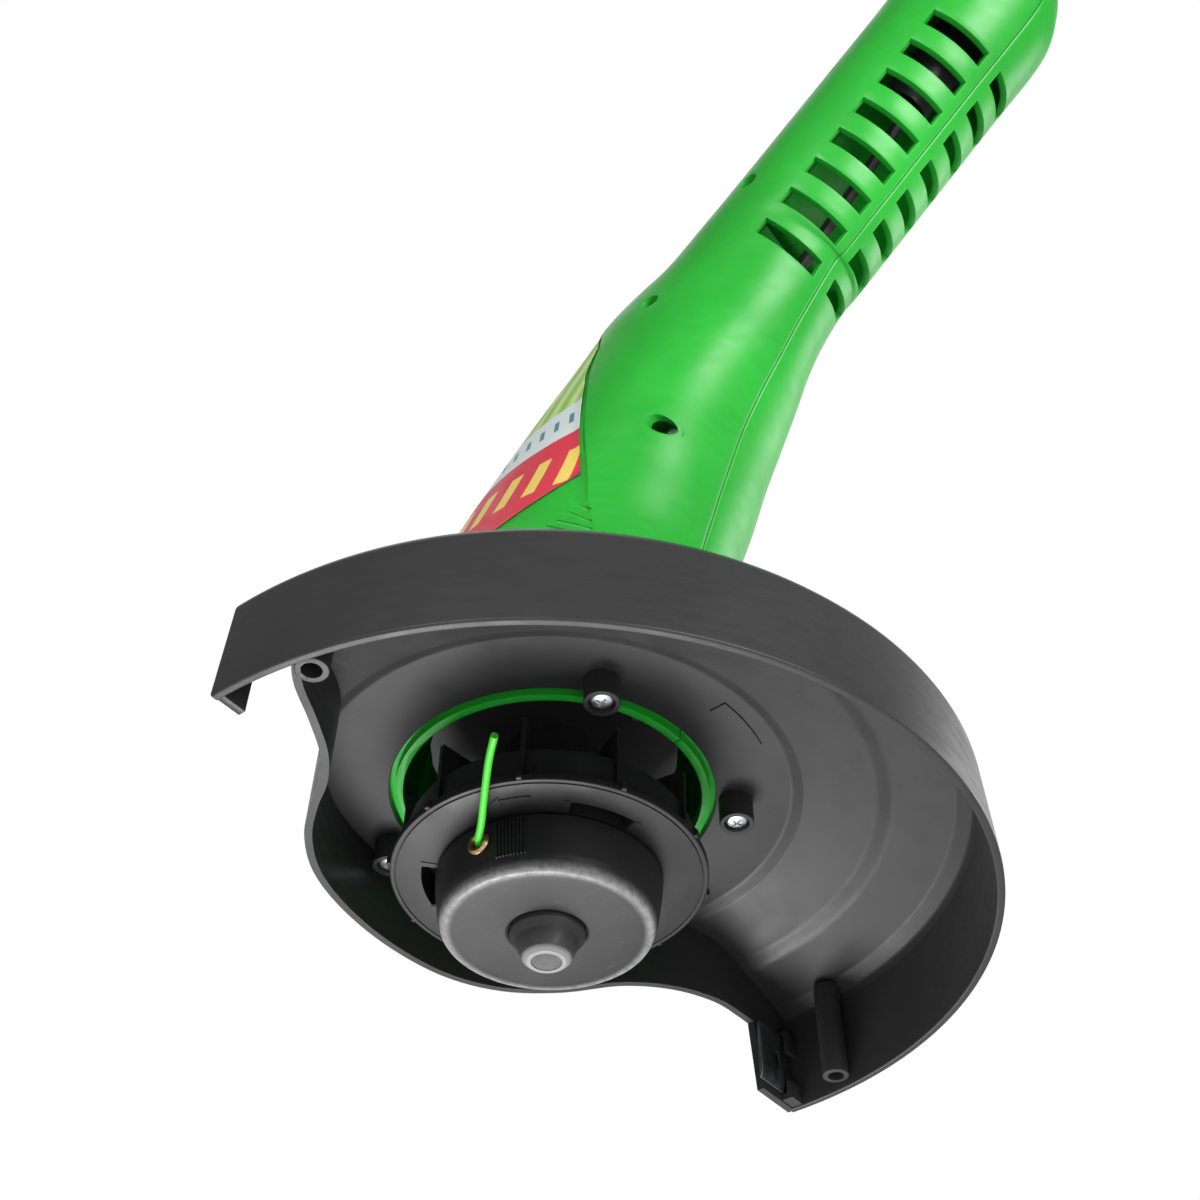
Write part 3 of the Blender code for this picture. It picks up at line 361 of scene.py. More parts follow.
def catmull(rows, s):
    last = len(rows) - 1
    i = min(int(s), last - 1)
    f = s - i
    p0, p1, p2, p3 = rows[max(i - 1, 0)], rows[i], rows[i + 1], rows[min(i + 2, last)]
    return 0.5 * (2 * p1 + (p2 - p0) * f + (2 * p0 - 5 * p1 + 4 * p2 - p3) * f * f
                  + (3 * p1 - p0 - 3 * p2 + p3) * f ** 3)


def smooth_path(points, count):
    rows = np.array(points, dtype=float)
    return [catmull(rows, s) for s in np.linspace(0, len(rows) - 1, count)]


def dress(item, look, *nodes, body=None, sharp=32):
    """Finish a piece: its material, shading, body and the nodes it stands for."""
    item.data.materials.clear()
    item.data.materials.append(LOOKS[look])
    if item.type == "MESH":
        item.data.shade_smooth()
        item.data.set_sharp_from_angle(angle=math.radians(sharp))
    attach(item, body or BODY_OF[nodes[0]])
    if nodes:
        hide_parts(*nodes)
    return item


# ---------------------------------------------------------------- materials

class Paint:
    """A material's node tree, with short names for the nodes used here."""

    def __init__(self, name):
        self.made = bpy.data.materials.new(name)
        self.made.use_nodes = True
        self.tree = self.made.node_tree
        self.shader = self.tree.nodes["Principled BSDF"]
        self.place = self.node("ShaderNodeTexCoord").outputs["Object"]

    def node(self, kind, **settings):
        item = self.tree.nodes.new(kind)
        for key, value in settings.items():
            setattr(item, key, value)
        return item

    def link(self, out, into):
        self.tree.links.new(out, into)

    def set(self, **values):
        for key, value in values.items():
            self.shader.inputs[key.replace("_", " ")].default_value = value
        return self

    def noise(self, scale, detail=3.0, rough=0.5, stretch=None):
        item = self.node("ShaderNodeTexNoise")
        item.inputs["Scale"].default_value = scale
        item.inputs["Detail"].default_value = detail
        item.inputs["Roughness"].default_value = rough
        where = self.place
        if stretch:
            squeeze = self.node("ShaderNodeMapping")
            squeeze.inputs["Scale"].default_value = stretch
            self.link(where, squeeze.inputs["Vector"])
            where = squeeze.outputs["Vector"]
        self.link(where, item.inputs["Vector"])
        return item.outputs["Fac"]

    def cells(self, scale, feature="F1"):
        item = self.node("ShaderNodeTexVoronoi", feature=feature)
        item.inputs["Scale"].default_value = scale
        self.link(self.place, item.inputs["Vector"])
        return item.outputs["Distance"]

    def math(self, kind, a, b=None, c=None):
        item = self.node("ShaderNodeMath", operation=kind)
        for socket, value in zip(item.inputs, (a, b, c)):
            if value is None:
                continue
            if isinstance(value, (int, float)):
                socket.default_value = value
            else:
                self.link(value, socket)
        return item.outputs[0]

    def span(self, value, low, high, to_low=0.0, to_high=1.0):
        item = self.node("ShaderNodeMapRange", interpolation_type="SMOOTHSTEP")
        self.link(value, item.inputs["Value"])
        for key, number in (("From Min", low), ("From Max", high), ("To Min", to_low),
                            ("To Max", to_high)):
            item.inputs[key].default_value = number
        return item.outputs["Result"]

    def mix(self, share, a, b):
        item = self.node("ShaderNodeMix", data_type="RGBA")
        if isinstance(share, float):
            item.inputs[0].default_value = share
        else:
            self.link(share, item.inputs[0])
        for socket, value in ((item.inputs[6], a), (item.inputs[7], b)):
            if isinstance(value, tuple):
                socket.default_value = (*value, 1.0)
            else:
                self.link(value, socket)
        return item.outputs[2]

    def xyz(self):
        item = self.node("ShaderNodeSeparateXYZ")
        self.link(self.place, item.inputs[0])
        return item.outputs

    def radius(self, x, y):
        """Distance from the spin axis."""
        return self.math("SQRT", self.math("ADD", self.math("MULTIPLY", x, x),
                                           self.math("MULTIPLY", y, y)))

    def colour(self, out):
        self.link(out, self.shader.inputs["Base Color"])
        return self

    def rough(self, out):
        self.link(out, self.shader.inputs["Roughness"])
        return self

    def bump(self, *layers):
        """layers are (height output, strength, distance), from the coarse to the fine."""
        last = None
        for height, strength, distance in layers:
            item = self.node("ShaderNodeBump")
            item.inputs["Strength"].default_value = strength
            item.inputs["Distance"].default_value = distance
            self.link(height, item.inputs["Height"])
            if last:
                self.link(last, item.inputs["Normal"])
            last = item.outputs["Normal"]
        self.link(last, self.shader.inputs["Normal"])
        return self


def tone(colour, factor):
    return tuple(min(1.0, c * factor) for c in colour)


def moulded(name, colour, rough, grain=2600, depth=0.00006, dust=0.25, specular=0.5):
    """Injection moulded plastic: spark-eroded grain, faint flow marks and a few dust specks."""
    paint = Paint(name)
    flow = paint.noise(9, 4, 0.6)
    shade = paint.mix(paint.span(flow, 0.3, 0.7), tone(colour, 0.86), tone(colour, 1.12))
    speck = paint.span(paint.cells(420), 0.0, 0.055, dust, 0.0)
    patch = paint.span(paint.noise(30, 2), 0.52, 0.66)
    shade = paint.mix(paint.math("MULTIPLY", speck, patch), shade, (0.42, 0.42, 0.40))
    scuff = paint.noise(60, 5, 0.65, (1.0, 1.0, 5.0))
    paint.colour(shade)
    paint.rough(paint.span(scuff, 0.25, 0.75, rough - 0.07, rough + 0.09))
    paint.bump((paint.noise(55, 2), 0.12, 0.0004), (paint.noise(grain, 2, 0.6), 0.35, depth))
    paint.set(Specular_IOR_Level=specular)
    return paint


def metal(name, colour, rough, stretch=(1.0, 1.0, 1.0), scale=900, specks=0.12):
    """Metal with drawn or plated streaks and slight tarnish."""
    paint = Paint(name)
    streak = paint.noise(scale, 3, 0.6, stretch)
    tarnish = paint.span(paint.noise(120, 4, 0.6), 0.45, 0.75, 0.0, 1.0)
    shade = paint.mix(tarnish, colour, tone(colour, 1.0 - specks * 3))
    paint.colour(shade)
    paint.rough(paint.span(streak, 0.3, 0.7, rough - 0.06, rough + 0.12))
    paint.bump((streak, 0.25, 0.00003))
    paint.set(Metallic=1.0)
    return paint


def cap_look():
    """Black cap with its lower edge and foot painted pale, partly as rubbed wear from the ground and
    partly as a painted highlight for the edge's shine; the pale part is also shinier.
    """
    paint = Paint("worn_and_highlit_cap_plastic")
    x, y, z = paint.xyz()
    radius = paint.radius(x, y)
    # ring on the lower edge and foot: rubbed wear and a painted highlight together
    low = paint.span(z, 0.0112, 0.0152, 1.0, 0.0)
    outer = paint.span(radius, 0.0318, 0.0352)
    rubbed_and_highlit_ring = paint.math("MULTIPLY", low, outer)
    ragged = paint.span(paint.noise(420, 5, 0.7), 0.20, 0.72, 0.35, 1.0)
    wear_and_highlight = paint.math("MULTIPLY", rubbed_and_highlit_ring, ragged)
    scratch = paint.span(paint.noise(900, 4, 0.75, (1.0, 0.10, 1.0)), 0.60, 0.72)
    flat = paint.span(z, 0.0108, 0.0118, 1.0, 0.0)
    fine = paint.math("MULTIPLY", paint.math("MULTIPLY", scratch, flat), 0.12)
    share = paint.math("MAXIMUM", paint.math("MULTIPLY", wear_and_highlight, 0.75), fine)
    shade = paint.mix(paint.span(paint.noise(40, 4), 0.35, 0.7), (0.016, 0.016, 0.017),
                      (0.028, 0.028, 0.029))
    # pale grey 0.42 on the ring: rubbed wear, and also a painted highlight that stands in for the shine
    # of the edge
    paint.colour(paint.mix(share, shade, (0.42, 0.42, 0.42)))
    paint.rough(paint.span(wear_and_highlight, 0.0, 1.0, 0.42, 0.25))
    paint.bump((paint.noise(70, 2), 0.1, 0.0004), (paint.noise(2600, 2, 0.6), 0.3, 0.00005),
               (scratch, 0.12, 0.00004))
    paint.set(Specular_IOR_Level=0.34)
    return paint


def button_look():
    """The bump button: grit has worn its foot pale."""
    paint = Paint("worn_button_plastic")
    x, y, z = paint.xyz()
    radius = paint.radius(x, y)
    low = paint.span(z, -0.0005, 0.0085, 1.0, 0.0)
    ragged = paint.span(paint.noise(1500, 4, 0.7), 0.25, 0.75, 0.25, 1.0)
    edge = paint.math("MULTIPLY", paint.span(radius, 0.0050, 0.0054),
                      paint.span(z, 0.0006, 0.0020, 1.0, 0.0))
    shade = paint.mix(paint.math("MULTIPLY", low, ragged), (0.022, 0.022, 0.023),
                      (0.09, 0.09, 0.09))
    shade = paint.mix(edge, shade, (0.26, 0.26, 0.26))
    paint.colour(shade)
    paint.rough(paint.span(paint.noise(300, 4), 0.3, 0.7, 0.42, 0.62))
    paint.bump((paint.noise(1800, 3, 0.7), 0.35, 0.00007))
    return paint


def blocks(paint, across, up, sides, ends):
    """A mask of upright blocks: sides are their edges in the repeat, ends their two heights."""
    wide = paint.math("MULTIPLY", paint.span(across, sides[0], sides[0] + 0.03),
                      paint.span(across, sides[1], sides[1] + 0.03, 1.0, 0.0))
    tall = paint.math("MULTIPLY", paint.span(up, ends[0], ends[0] + 0.0006),
                      paint.span(up, ends[1], ends[1] + 0.0006, 1.0, 0.0))
    return paint.math("MULTIPLY", wide, tall)


def label_look():
    """Printed sticker: green rays, a pale band with dashes, and a red block with plain bars."""
    paint = Paint("label_print")
    _, y, z = paint.xyz()
    leaf = paint.math("MULTIPLY", paint.math("SUBTRACT", z, paint.math("MULTIPLY", y, 2.14)), 46)
    drift = paint.math("MULTIPLY", paint.noise(28, 2), 0.5)
    wave = paint.math("FRACT", paint.math("ADD", leaf, drift))
    ray = paint.math("MULTIPLY", paint.span(wave, 0.0, 0.5), paint.span(wave, 0.5, 1.0, 1.0, 0.0))
    green = paint.mix(ray, (0.27, 0.60, 0.06), (0.66, 0.84, 0.36))
    slope = paint.math("SUBTRACT", z, paint.math("MULTIPLY", y, 1.5))
    red = paint.mix(paint.span(slope, 0.102, 0.110), (0.26, 0.05, 0.17), (0.76, 0.055, 0.085))
    bars = paint.math("FRACT", paint.math("MULTIPLY", paint.math(
        "SUBTRACT", y, paint.math("MULTIPLY", z, 0.35)), 72))
    red = paint.mix(blocks(paint, bars, z, (0.22, 0.66), (0.1715, 0.1900)), red,
                    (0.93, 0.70, 0.16))
    dashes = paint.math("FRACT", paint.math("MULTIPLY", y, 130))
    white = paint.mix(blocks(paint, dashes, z, (0.30, 0.62), (0.2085, 0.2150)),
                      (0.76, 0.86, 0.84), (0.10, 0.30, 0.34))
    lower = paint.mix(paint.span(z, 0.2010, 0.2016), red, white)
    paint.colour(paint.mix(paint.span(z, 0.2220, 0.2226), lower, green))
    paint.rough(paint.span(paint.noise(80, 3), 0.3, 0.7, 0.38, 0.50))
    paint.bump((paint.noise(160, 2), 0.08, 0.0002))
    paint.set(Specular_IOR_Level=0.35)
    return paint


def build_looks():
    green = (0.022, 0.455, 0.036)
    black = (0.024, 0.024, 0.025)
    looks = {
        "green": moulded("green_abs", green, 0.36, 2200, 0.00004, 0.12),
        "guard": moulded("guard_polypropylene", (0.034, 0.034, 0.035), 0.40, 2400, 0.00006, 0.35, 0.32),
        "black": moulded("black_polypropylene", black, 0.42),
        "carrier": moulded("carrier_nylon", (0.020, 0.020, 0.021), 0.42, 1900, 0.00006, 0.3, 0.34),
        "grip": moulded("grip_rubber", (0.020, 0.020, 0.021), 0.62, 1500, 0.00010, 0.2),
        "white": moulded("white_nylon", (0.70, 0.70, 0.66), 0.40),
        "cap": cap_look(),
        "button": button_look(),
        "label": label_look(),
        "zinc": metal("zinc_plate", (0.86, 0.87, 0.92), 0.34, scale=700),
        "steel": metal("bright_steel", (0.55, 0.56, 0.58), 0.30, (1.0, 1.0, 8.0)),
        "blade": metal("galvanised_steel", (0.30, 0.31, 0.33), 0.38, (1.0, 1.0, 0.12), 700),
        "iron": metal("laminations", (0.22, 0.22, 0.24), 0.45, (0.05, 0.05, 30.0), 100),
        "copper": metal("enamelled_copper", (0.70, 0.30, 0.13), 0.30, (1.0, 1.0, 12.0), 300),
        "brass": metal("pressed_brass", (0.74, 0.50, 0.26), 0.28, scale=500),
        "carbon": moulded("brush_carbon", (0.035, 0.035, 0.037), 0.6),
        "tube": moulded("powder_coat", (0.026, 0.026, 0.027), 0.34, 650, 0.00016, 0.15),
        "cable": moulded("cable_sheath", (0.025, 0.025, 0.026), 0.5),
        "line": moulded("nylon_line", (0.085, 0.72, 0.045), 0.30, 1400, 0.00003, 0.0),
    }
    looks["line"].set(Subsurface_Weight=0.25, Subsurface_Scale=0.002)
    looks["green"].set(Subsurface_Weight=0.04, Subsurface_Scale=0.002)
    return {name: paint.made for name, paint in looks.items()}


# what each CAD slot that stays in view is made of
SLOT_LOOKS = {"black_plastic": "black", "green_plastic": "green", "label": "label",
              "trimmer_line": "line", "steel": "steel", "zinc": "zinc", "lamination": "iron",
              "copper": "copper", "brass": "brass", "carbon": "carbon", "painted_tube": "tube",
              "white_plastic": "white", "black_cable": "cable"}

# ---------------------------------------------------------------- cutting line

EYELET_ANGLE = 3
LINE_Z = 0.0240
LINE_R = 0.00125


def cutting_line():
    """The free end of the line: stiff nylon, from the reel through the eyelet, cut off square."""
    start = (*polar(0.0325, EYELET_ANGLE), LINE_Z)
    knots = [start, (*polar(0.0392, EYELET_ANGLE), LINE_Z), (0.0468, 0.0098, 0.0242),
             (0.0589, 0.0216, 0.0243), (0.0694, 0.0322, 0.0241), (0.0768, 0.0406, 0.0240)]
    path = smooth_path(knots, 41)
    data = bpy.data.curves.new("nylon_line", "CURVE")
    data.dimensions = "3D"
    data.bevel_depth = LINE_R
    data.bevel_resolution = 6
    data.use_fill_caps = True
    spline = data.splines.new("POLY")
    spline.points.add(len(path) - 1)
    for slot, point in zip(spline.points, path):
        slot.co = (*point, 1.0)
    item = linked("nylon_line", data)
    dress(item, "line", "cutting_line")


# ---------------------------------------------------------------- cutting head

BUTTON_R = 0.0129
CAP_Z = 0.0110
CAP_R = 0.0360
CAP_TOP_R = 0.0392
CAP_TOP_Z = 0.0310
FLANGE_Z = 0.0323
FLANGE_R = 0.0550
DRUM_R = 0.0505
BLADE_TOP = 0.0620
BLADE_COUNT = 10
BLADE_FIRST = 28.4
WINDOW_ANGLES = (63, 183, 303)


def bump_button():
    profile = [(0, 0.0280), (0.0065, 0.0280), (0.0065, 0.0232), (0.0150, 0.0232),
               (0.0150, 0.0166), (0.0168, 0.0162), (0.0168, 0.0140), (BUTTON_R, 0.0138),
               (BUTTON_R, 0.0098), (0.0108, 0.0072), (0.0085, 0.0017),
               (0.0066, 0.0), (0.0052, 0.0), (0.0049, 0.0003), (0, 0.0003)]
    radii = (0, 0.0005, 0, 0.0005, 0, 0.0004, 0.0004, 0, 0.0012, 0.0030, 0.0010, 0.0006,
             0.0001, 0.0001, 0)
    dress(lathe("bump_knob", fillet(profile, radii), 96), "button", "bump_button")


def spool_cap():
    """Cap with a lower edge painted pale (rubbed wear and painted highlight), fine grip ribs beside the
    eyelet and three latch tabs.
    """
    outer = [(CAP_TOP_R, CAP_TOP_Z), (CAP_TOP_R - 0.0004, 0.0262), (CAP_R + 0.0014, 0.0165),
             (CAP_R - 0.0002, CAP_Z + 0.0001), (0.0300, CAP_Z - 0.0001)]
    inner = [(0.0142, CAP_Z), (BUTTON_R + 0.0004, CAP_Z + 0.0004),
             (BUTTON_R + 0.0004, 0.0132), (CAP_R - 0.0045, 0.0132), (CAP_R - 0.0014, 0.0162),
             (CAP_TOP_R - 0.0022, CAP_TOP_Z)]
    radii = (0.0004, 0.01, 0.004, 0.0024, 0.002, 0.0003, 0.0003, 0.0003, 0.001, 0.002, 0.0004)
    cap = lathe("cap", fillet(outer + inner, radii, True), 192, True)
    eye = Vector((*polar(1, EYELET_ANGLE), 0))
    cut(cap, rod("eyelet_bore", eye * 0.030 + Vector((0, 0, LINE_Z)),
                 eye * 0.045 + Vector((0, 0, LINE_Z)), 0.0031))
    ribs = []
    for base in (0, 180):
        for index in range(9):
            ribs.append(grip_rib(base + 12.6 + 1.85 * index))
    join(cap, *ribs)
    panels = [turned_sector(angle, 13, CAP_TOP_R - 0.0003, 0.045, 0.0142, 0.040)
              for angle in (58, 178, 298)]
    cut(cap, *panels)
    dress(rounded_edges(cap, 0.00012, 1, 50), "cap", "spool_cap")


def grip_rib(degrees):
    """A thin upright rib on the cap's leaning side."""
    x0, x1 = CAP_R - 0.0006, CAP_TOP_R - 0.0008
    outline = [(x0, 0.0162), (x0 + 0.00260, 0.0168), (x1 + 0.00115, 0.0268),
               (x1 + 0.00125, 0.0302), (x1 - 0.0006, 0.0304)]
    return prism("rib", outline, -0.00028, 0.00028, upright(degrees))


def turned_sector(middle, spread, inner, outer, low, high):
    outline = arc(inner, middle - spread, middle + spread, 8) \
        + arc(outer, middle + spread, middle - spread, 8)
    return prism("sector", outline, low, high)


def eyelet():
    profile = [(0.0043, 0.0003), (0.0042, 0.0), (0.0030, 0.0), (0.0029, -0.0036),
               (0.0018, -0.0036), (0.0018, 0.0004), (0.0026, 0.0013), (0.0036, 0.0014)]
    item = lathe("line_eyelet", fillet(profile, 0.0005, True), 48, True)
    spot = Vector((*polar(CAP_TOP_R - 0.0002, EYELET_ANGLE), LINE_Z))
    out = Vector((*polar(1, EYELET_ANGLE), 0))
    placed(item, Matrix.Translation(spot) @ facing(out))
    dress(item, "brass", "eyelet")


def blade(degrees):
    outline = [(0.0200, 0.0470), (0.0494, 0.0470), (0.0494, FLANGE_Z + 0.0004),
               (0.0562, FLANGE_Z + 0.0004), (0.0562, FLANGE_Z + 0.0030), (0.0520, FLANGE_Z + 0.0050),
               (0.0522, BLADE_TOP), (0.0240, BLADE_TOP - 0.0010)]
    return prism("blade", fillet(outline, 0.0008, True), -0.0008, 0.0008, upright(degrees))


def carrier_arrow():
    """A raised arrow on the flange that shows which way the cap opens."""
    middle = 0.0462
    head = [polar(middle + 0.0022, 18.5), polar(middle, 13.5), polar(middle - 0.0022, 18.5),
            polar(middle - 0.0008, 18.0)]
    tail = arc(middle - 0.0008, 18.6, 31.0, 6) + arc(middle + 0.0008, 31.0, 18.6, 6)
    return prism("arrow", head + tail + [polar(middle + 0.0008, 18.0)], FLANGE_Z - 0.0004,
                 FLANGE_Z + 0.0010)


def fan_carrier():
    """Fan, drum and flange, with the ring groove, bayonet windows and blades."""
    profile = [(FLANGE_R, FLANGE_Z + 0.0028), (FLANGE_R, FLANGE_Z), (0.05335, FLANGE_Z),
               (0.05335, FLANGE_Z + 0.0006), (0.05290, FLANGE_Z + 0.0006), (0.05290, FLANGE_Z),
               (0.0370, FLANGE_Z), (0.0352, FLANGE_Z + 0.0010), (0.0350, 0.0455),
               (0.0105, 0.0455), (0.0105, 0.0410), (0.0053, 0.0410), (0.0053, 0.0600),
               (0.0120, 0.0600), (0.0130, 0.0490), (DRUM_R, 0.0490), (DRUM_R, 0.0354)]
    radii = (0.0004, 0.0007, 0.0002, 0.0001, 0.0001, 0.0002, 0.0004, 0.0004, 0, 0, 0, 0, 0, 0.001,
             0.004, 0.0006, 0)
    carrier = lathe("head_carrier", fillet(profile, radii, True, 3), 160, True)
    join(carrier, *[blade(BLADE_FIRST + 36 * i) for i in range(BLADE_COUNT)])
    windows = []
    for middle in WINDOW_ANGLES:
        outline = arc(0.0442, middle - 15, middle + 15, 10) + arc(0.0384, middle + 15, middle - 15, 10)
        windows.append(prism("window", outline, FLANGE_Z - 0.002, 0.0440))
    cut(carrier, *windows)
    marks = [carrier_arrow()]
    for middle in WINDOW_ANGLES:
        for near, far in ((middle + 15.6, middle + 18.4), (middle - 18.4, middle - 15.6)):
            outline = arc(0.0448, near, far, 2) + arc(0.0388, far, near, 2)
            marks.append(prism("latch_pad", outline, FLANGE_Z - 0.0003, FLANGE_Z + 0.0010))
    join(carrier, *marks)
    mark = lathe("ring_mark", [(0.0012, 0.0004), (0.0012, -0.0004), (0.0007, -0.0004),
                               (0.0007, 0.0004)], 24, True)
    out = Vector((*polar(1, 33), 0))
    placed(mark, Matrix.Translation(out * DRUM_R + Vector((0, 0, 0.042))) @ facing(out))
    join(carrier, mark)
    dress(rounded_edges(carrier, 0.00022, 1, 50), "carrier", "fan_carrier")


# ---------------------------------------------------------------- guard

GUARD_R = 0.150
GUARD_WALL = 0.0027
GUARD_RIM_Z = 0.0088
PLATE_UNDER = ((0.059, 0.0680), (0.086, 0.0664), (0.090, 0.0642), (0.115, 0.0580),
               (0.120, 0.0552), (0.141, 0.0502), (0.1462, 0.0468))
SCREW_CIRCLE_R = 0.066
SCREW_ANGLES = (53, 127, 284)
POST_CIRCLE_R = 0.1417
POST_ANGLES = (11.4, 168.6)


def lip_path(count):
    """Inner edge of the guard in plan, from the +X post round the front to the -X end wall."""
    knots = [(0.1372, 0.0220), (0.1310, 0.0110), (0.1210, 0.0010), (0.1060, -0.0075),
             (0.0925, -0.0160), (0.0820, -0.0265), (0.0745, -0.0385), (0.0640, -0.0515),
             (0.0480, -0.0630), (0.0260, -0.0703), (0.0, -0.0732), (-0.0260, -0.0703),
             (-0.0460, -0.0600), (-0.0600, -0.0430), (-0.0700, -0.0215), (-0.0840, -0.0070),
             (-0.1010, 0.0012), (-0.1170, 0.0030), (-0.1320, 0.0030)]
    return [tuple(p) for p in smooth_path(knots, count)]


def offset_path(points, distance):
    rows = np.array(points)
    way = np.gradient(rows, axis=0)
    side = np.stack([-way[:, 1], way[:, 0]], axis=1)
    side /= np.linalg.norm(side, axis=1)[:, None]
    return [tuple(p) for p in rows + side * distance]


def guard_plate():
    """The stepped top plate and outer skirt, cut to the guard's plan."""
    top = [(r, z + GUARD_WALL) for r, z in PLATE_UNDER]
    outline = top + [(0.1492, 0.0452), (GUARD_R + 0.0001, GUARD_RIM_Z),
                     (GUARD_R - GUARD_WALL, GUARD_RIM_Z), (GUARD_R - GUARD_WALL - 0.0005, 0.0440)]
    outline += list(reversed(PLATE_UNDER))
    fine, soft, big = 0.0004, 0.004, 0.010
    radii = [fine, soft, soft, big, big, soft, 0.004, 0.005, 0.0009, 0.0007, 0.003,
             0.002, soft, big, big, soft, soft, fine]
    body = lathe("guard_moulding", fillet(outline, radii, True, 6), 240, True)
    lip = lip_path(103)
    inside = offset_path(lip, GUARD_WALL / 2)
    plan = [(0.1560, 0.0), (0.1465, 0.0)] + arc(0.1465, 2, 8, 6) + inside[1:-1] \
        + [(-0.1560, 0.0022)] + arc(0.1560, 178, 2, 90)
    combine(body, [prism("plan", plan, 0.0, 0.080)], "INTERSECT")
    band = lip + list(reversed(offset_path(lip, GUARD_WALL)))
    wall = prism("lip_wall", band, 0.0355, 0.080)
    roof = [(0, 0.0696), (0.059, 0.0696)] + [(r, z - 0.0008) for r, z in top[1:]] \
        + [(0.1490, 0.0300), (0, 0.0300)]
    combine(wall, [lathe("roof", roof, 240)], "INTERSECT")
    return join(body, wall)


def name_pad():
    """A plain raised pad on the underside, where such guards carry a moulded mark."""
    near, far, fall = 0.0735, 0.0800, (PLATE_UNDER[1][1] - PLATE_UNDER[0][1]) / 0.027
    low, high = (PLATE_UNDER[0][1] + fall * (r - 0.059) for r in (far, near))
    pad = lathe("name_pad", [(far, low + 0.0010), (far, low - 0.0006), (near, high - 0.0006),
                             (near, high + 0.0010)], 360, True)
    outline = [*polar_row(near - 0.001, far + 0.001, 85), *polar_row(far + 0.001, near - 0.001, 103)]
    combine(pad, [prism("sector", outline, 0.060, 0.072)], "INTERSECT")
    return pad


def polar_row(first, last, degrees):
    return [polar(first, degrees), polar(last, degrees)]


def side_wall():
    """The wall behind the cutter, which closes the guard's end up to its plate."""
    outline = [(-0.1488, GUARD_RIM_Z + 0.0002), (-0.1270, GUARD_RIM_Z + 0.0002),
               (-0.1235, 0.0350), (-0.1235, 0.0545), (-0.1400, 0.0510), (-0.1460, 0.0475),
               (-0.1488, 0.0400)]
    lay = Matrix(((1, 0, 0, 0), (0, 0, -1, 0), (0, 1, 0, 0), (0, 0, 0, 1)))
    return prism("end_wall", outline, -0.0031, -0.0003, lay)


def guard():
    body = guard_plate()
    posts, post_bores = [], []
    for degrees in POST_ANGLES:
        x, y = polar(POST_CIRCLE_R, degrees)
        posts.append(rod("post", (x, y, 0.0110), (x, y, 0.0490), 0.0050, 48, 0.0004))
        post_bores.append(rod("bore", (x, y, 0.0), (x, y, 0.0420), 0.0031))
    for degrees in SCREW_ANGLES:
        x, y = polar(SCREW_CIRCLE_R, degrees)
        posts.append(rod("boss", (x, y, 0.0570), (x, y, 0.0690), 0.0062, 48, 0.0005))
        post_bores.append(rod("pocket", (x, y, 0.05), (x, y, 0.0605), 0.0046))
    join(body, *posts, name_pad())
    cut(body, *post_bores)
    bores = [rod("bore", (*polar(SCREW_CIRCLE_R, a), 0.05), (*polar(SCREW_CIRCLE_R, a), 0.08),
                 0.0024, 24) for a in SCREW_ANGLES]
    cut(body, *bores)
    join(body, box("end_return", (0.1395, 0.0003, GUARD_RIM_Z + 0.0002), (0.1485, 0.0028, 0.0395)),
         side_wall())
    hook_low = [(0.0027, 0.0095), (0.0078, 0.0095), (0.0078, 0.0165), (0.0056, 0.0165),
                (0.0056, 0.0118), (0.0027, 0.0118)]
    hook_high = [(0.0027, 0.0385), (0.0078, 0.0385), (0.0078, 0.0290), (0.0056, 0.0290),
                 (0.0056, 0.0365), (0.0027, 0.0365)]
    join(body, side_plate("clip_low", hook_low, -0.1485, -0.1400),
         side_plate("clip_high", hook_high, -0.1485, -0.1405))
    dress(rounded_edges(body, 0.0003, 2, 40), "guard", "guard")


def line_cutter():
    """Steel blade with a ground edge and a fixing slot."""
    outline = [(0.0034, 0.0360), (0.0034, 0.0122), (0.0038, 0.0122), (0.0050, 0.0150),
               (0.0050, 0.0360)]
    body = side_plate("cutter_plate", outline, -0.1450, -0.1245)
    cut(body, box("slot", (-0.1372, 0.0, 0.0225), (-0.1352, 0.01, 0.0275)))
    dress(rounded_edges(body, 0.00015, 1), "blade", "line_cutter_blade")


def screw(node, head_r, shank_r, out, look="zinc"):
    """A pan-head cross-recess screw in the box of its CAD node, its head facing out."""
    low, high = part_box(node)
    out = Vector(out)
    length = abs((high - low).dot(out))
    tip = (low + high) / 2 + out * length / 2
    profile = [(0, 0), (head_r * 0.45, -0.00008), (head_r * 0.85, -0.0006), (head_r, -0.0013),
               (head_r, -0.0024), (head_r * 0.95, -0.0026), (shank_r, -0.0027),
               (shank_r, -length + 0.002), (shank_r * 0.4, -length), (0, -length)]
    body = lathe(node + "_head", fillet(profile, (0, 0.001, 0.001, 0.0004, 0.0002, 0.0001, 0, 0,
                                                  0, 0), steps=3), 48)
    arm, half, depth = head_r * 0.52, head_r * 0.12, 0.0016
    cross = [(arm, half), (half, half), (half, arm), (-half, arm), (-half, half), (-arm, half),
             (-arm, -half), (-half, -half), (-half, -arm), (half, -arm), (half, -half),
             (arm, -half)]
    cut(body, prism("recess", cross, -depth, 0.001))
    twist = Matrix.Rotation(math.radians(17), 4, "Z")
    placed(body, Matrix.Translation(tip) @ facing(out) @ twist)
    dress(rounded_edges(body, 0.00008, 1, 50), look, node)


# ---------------------------------------------------------------- housing

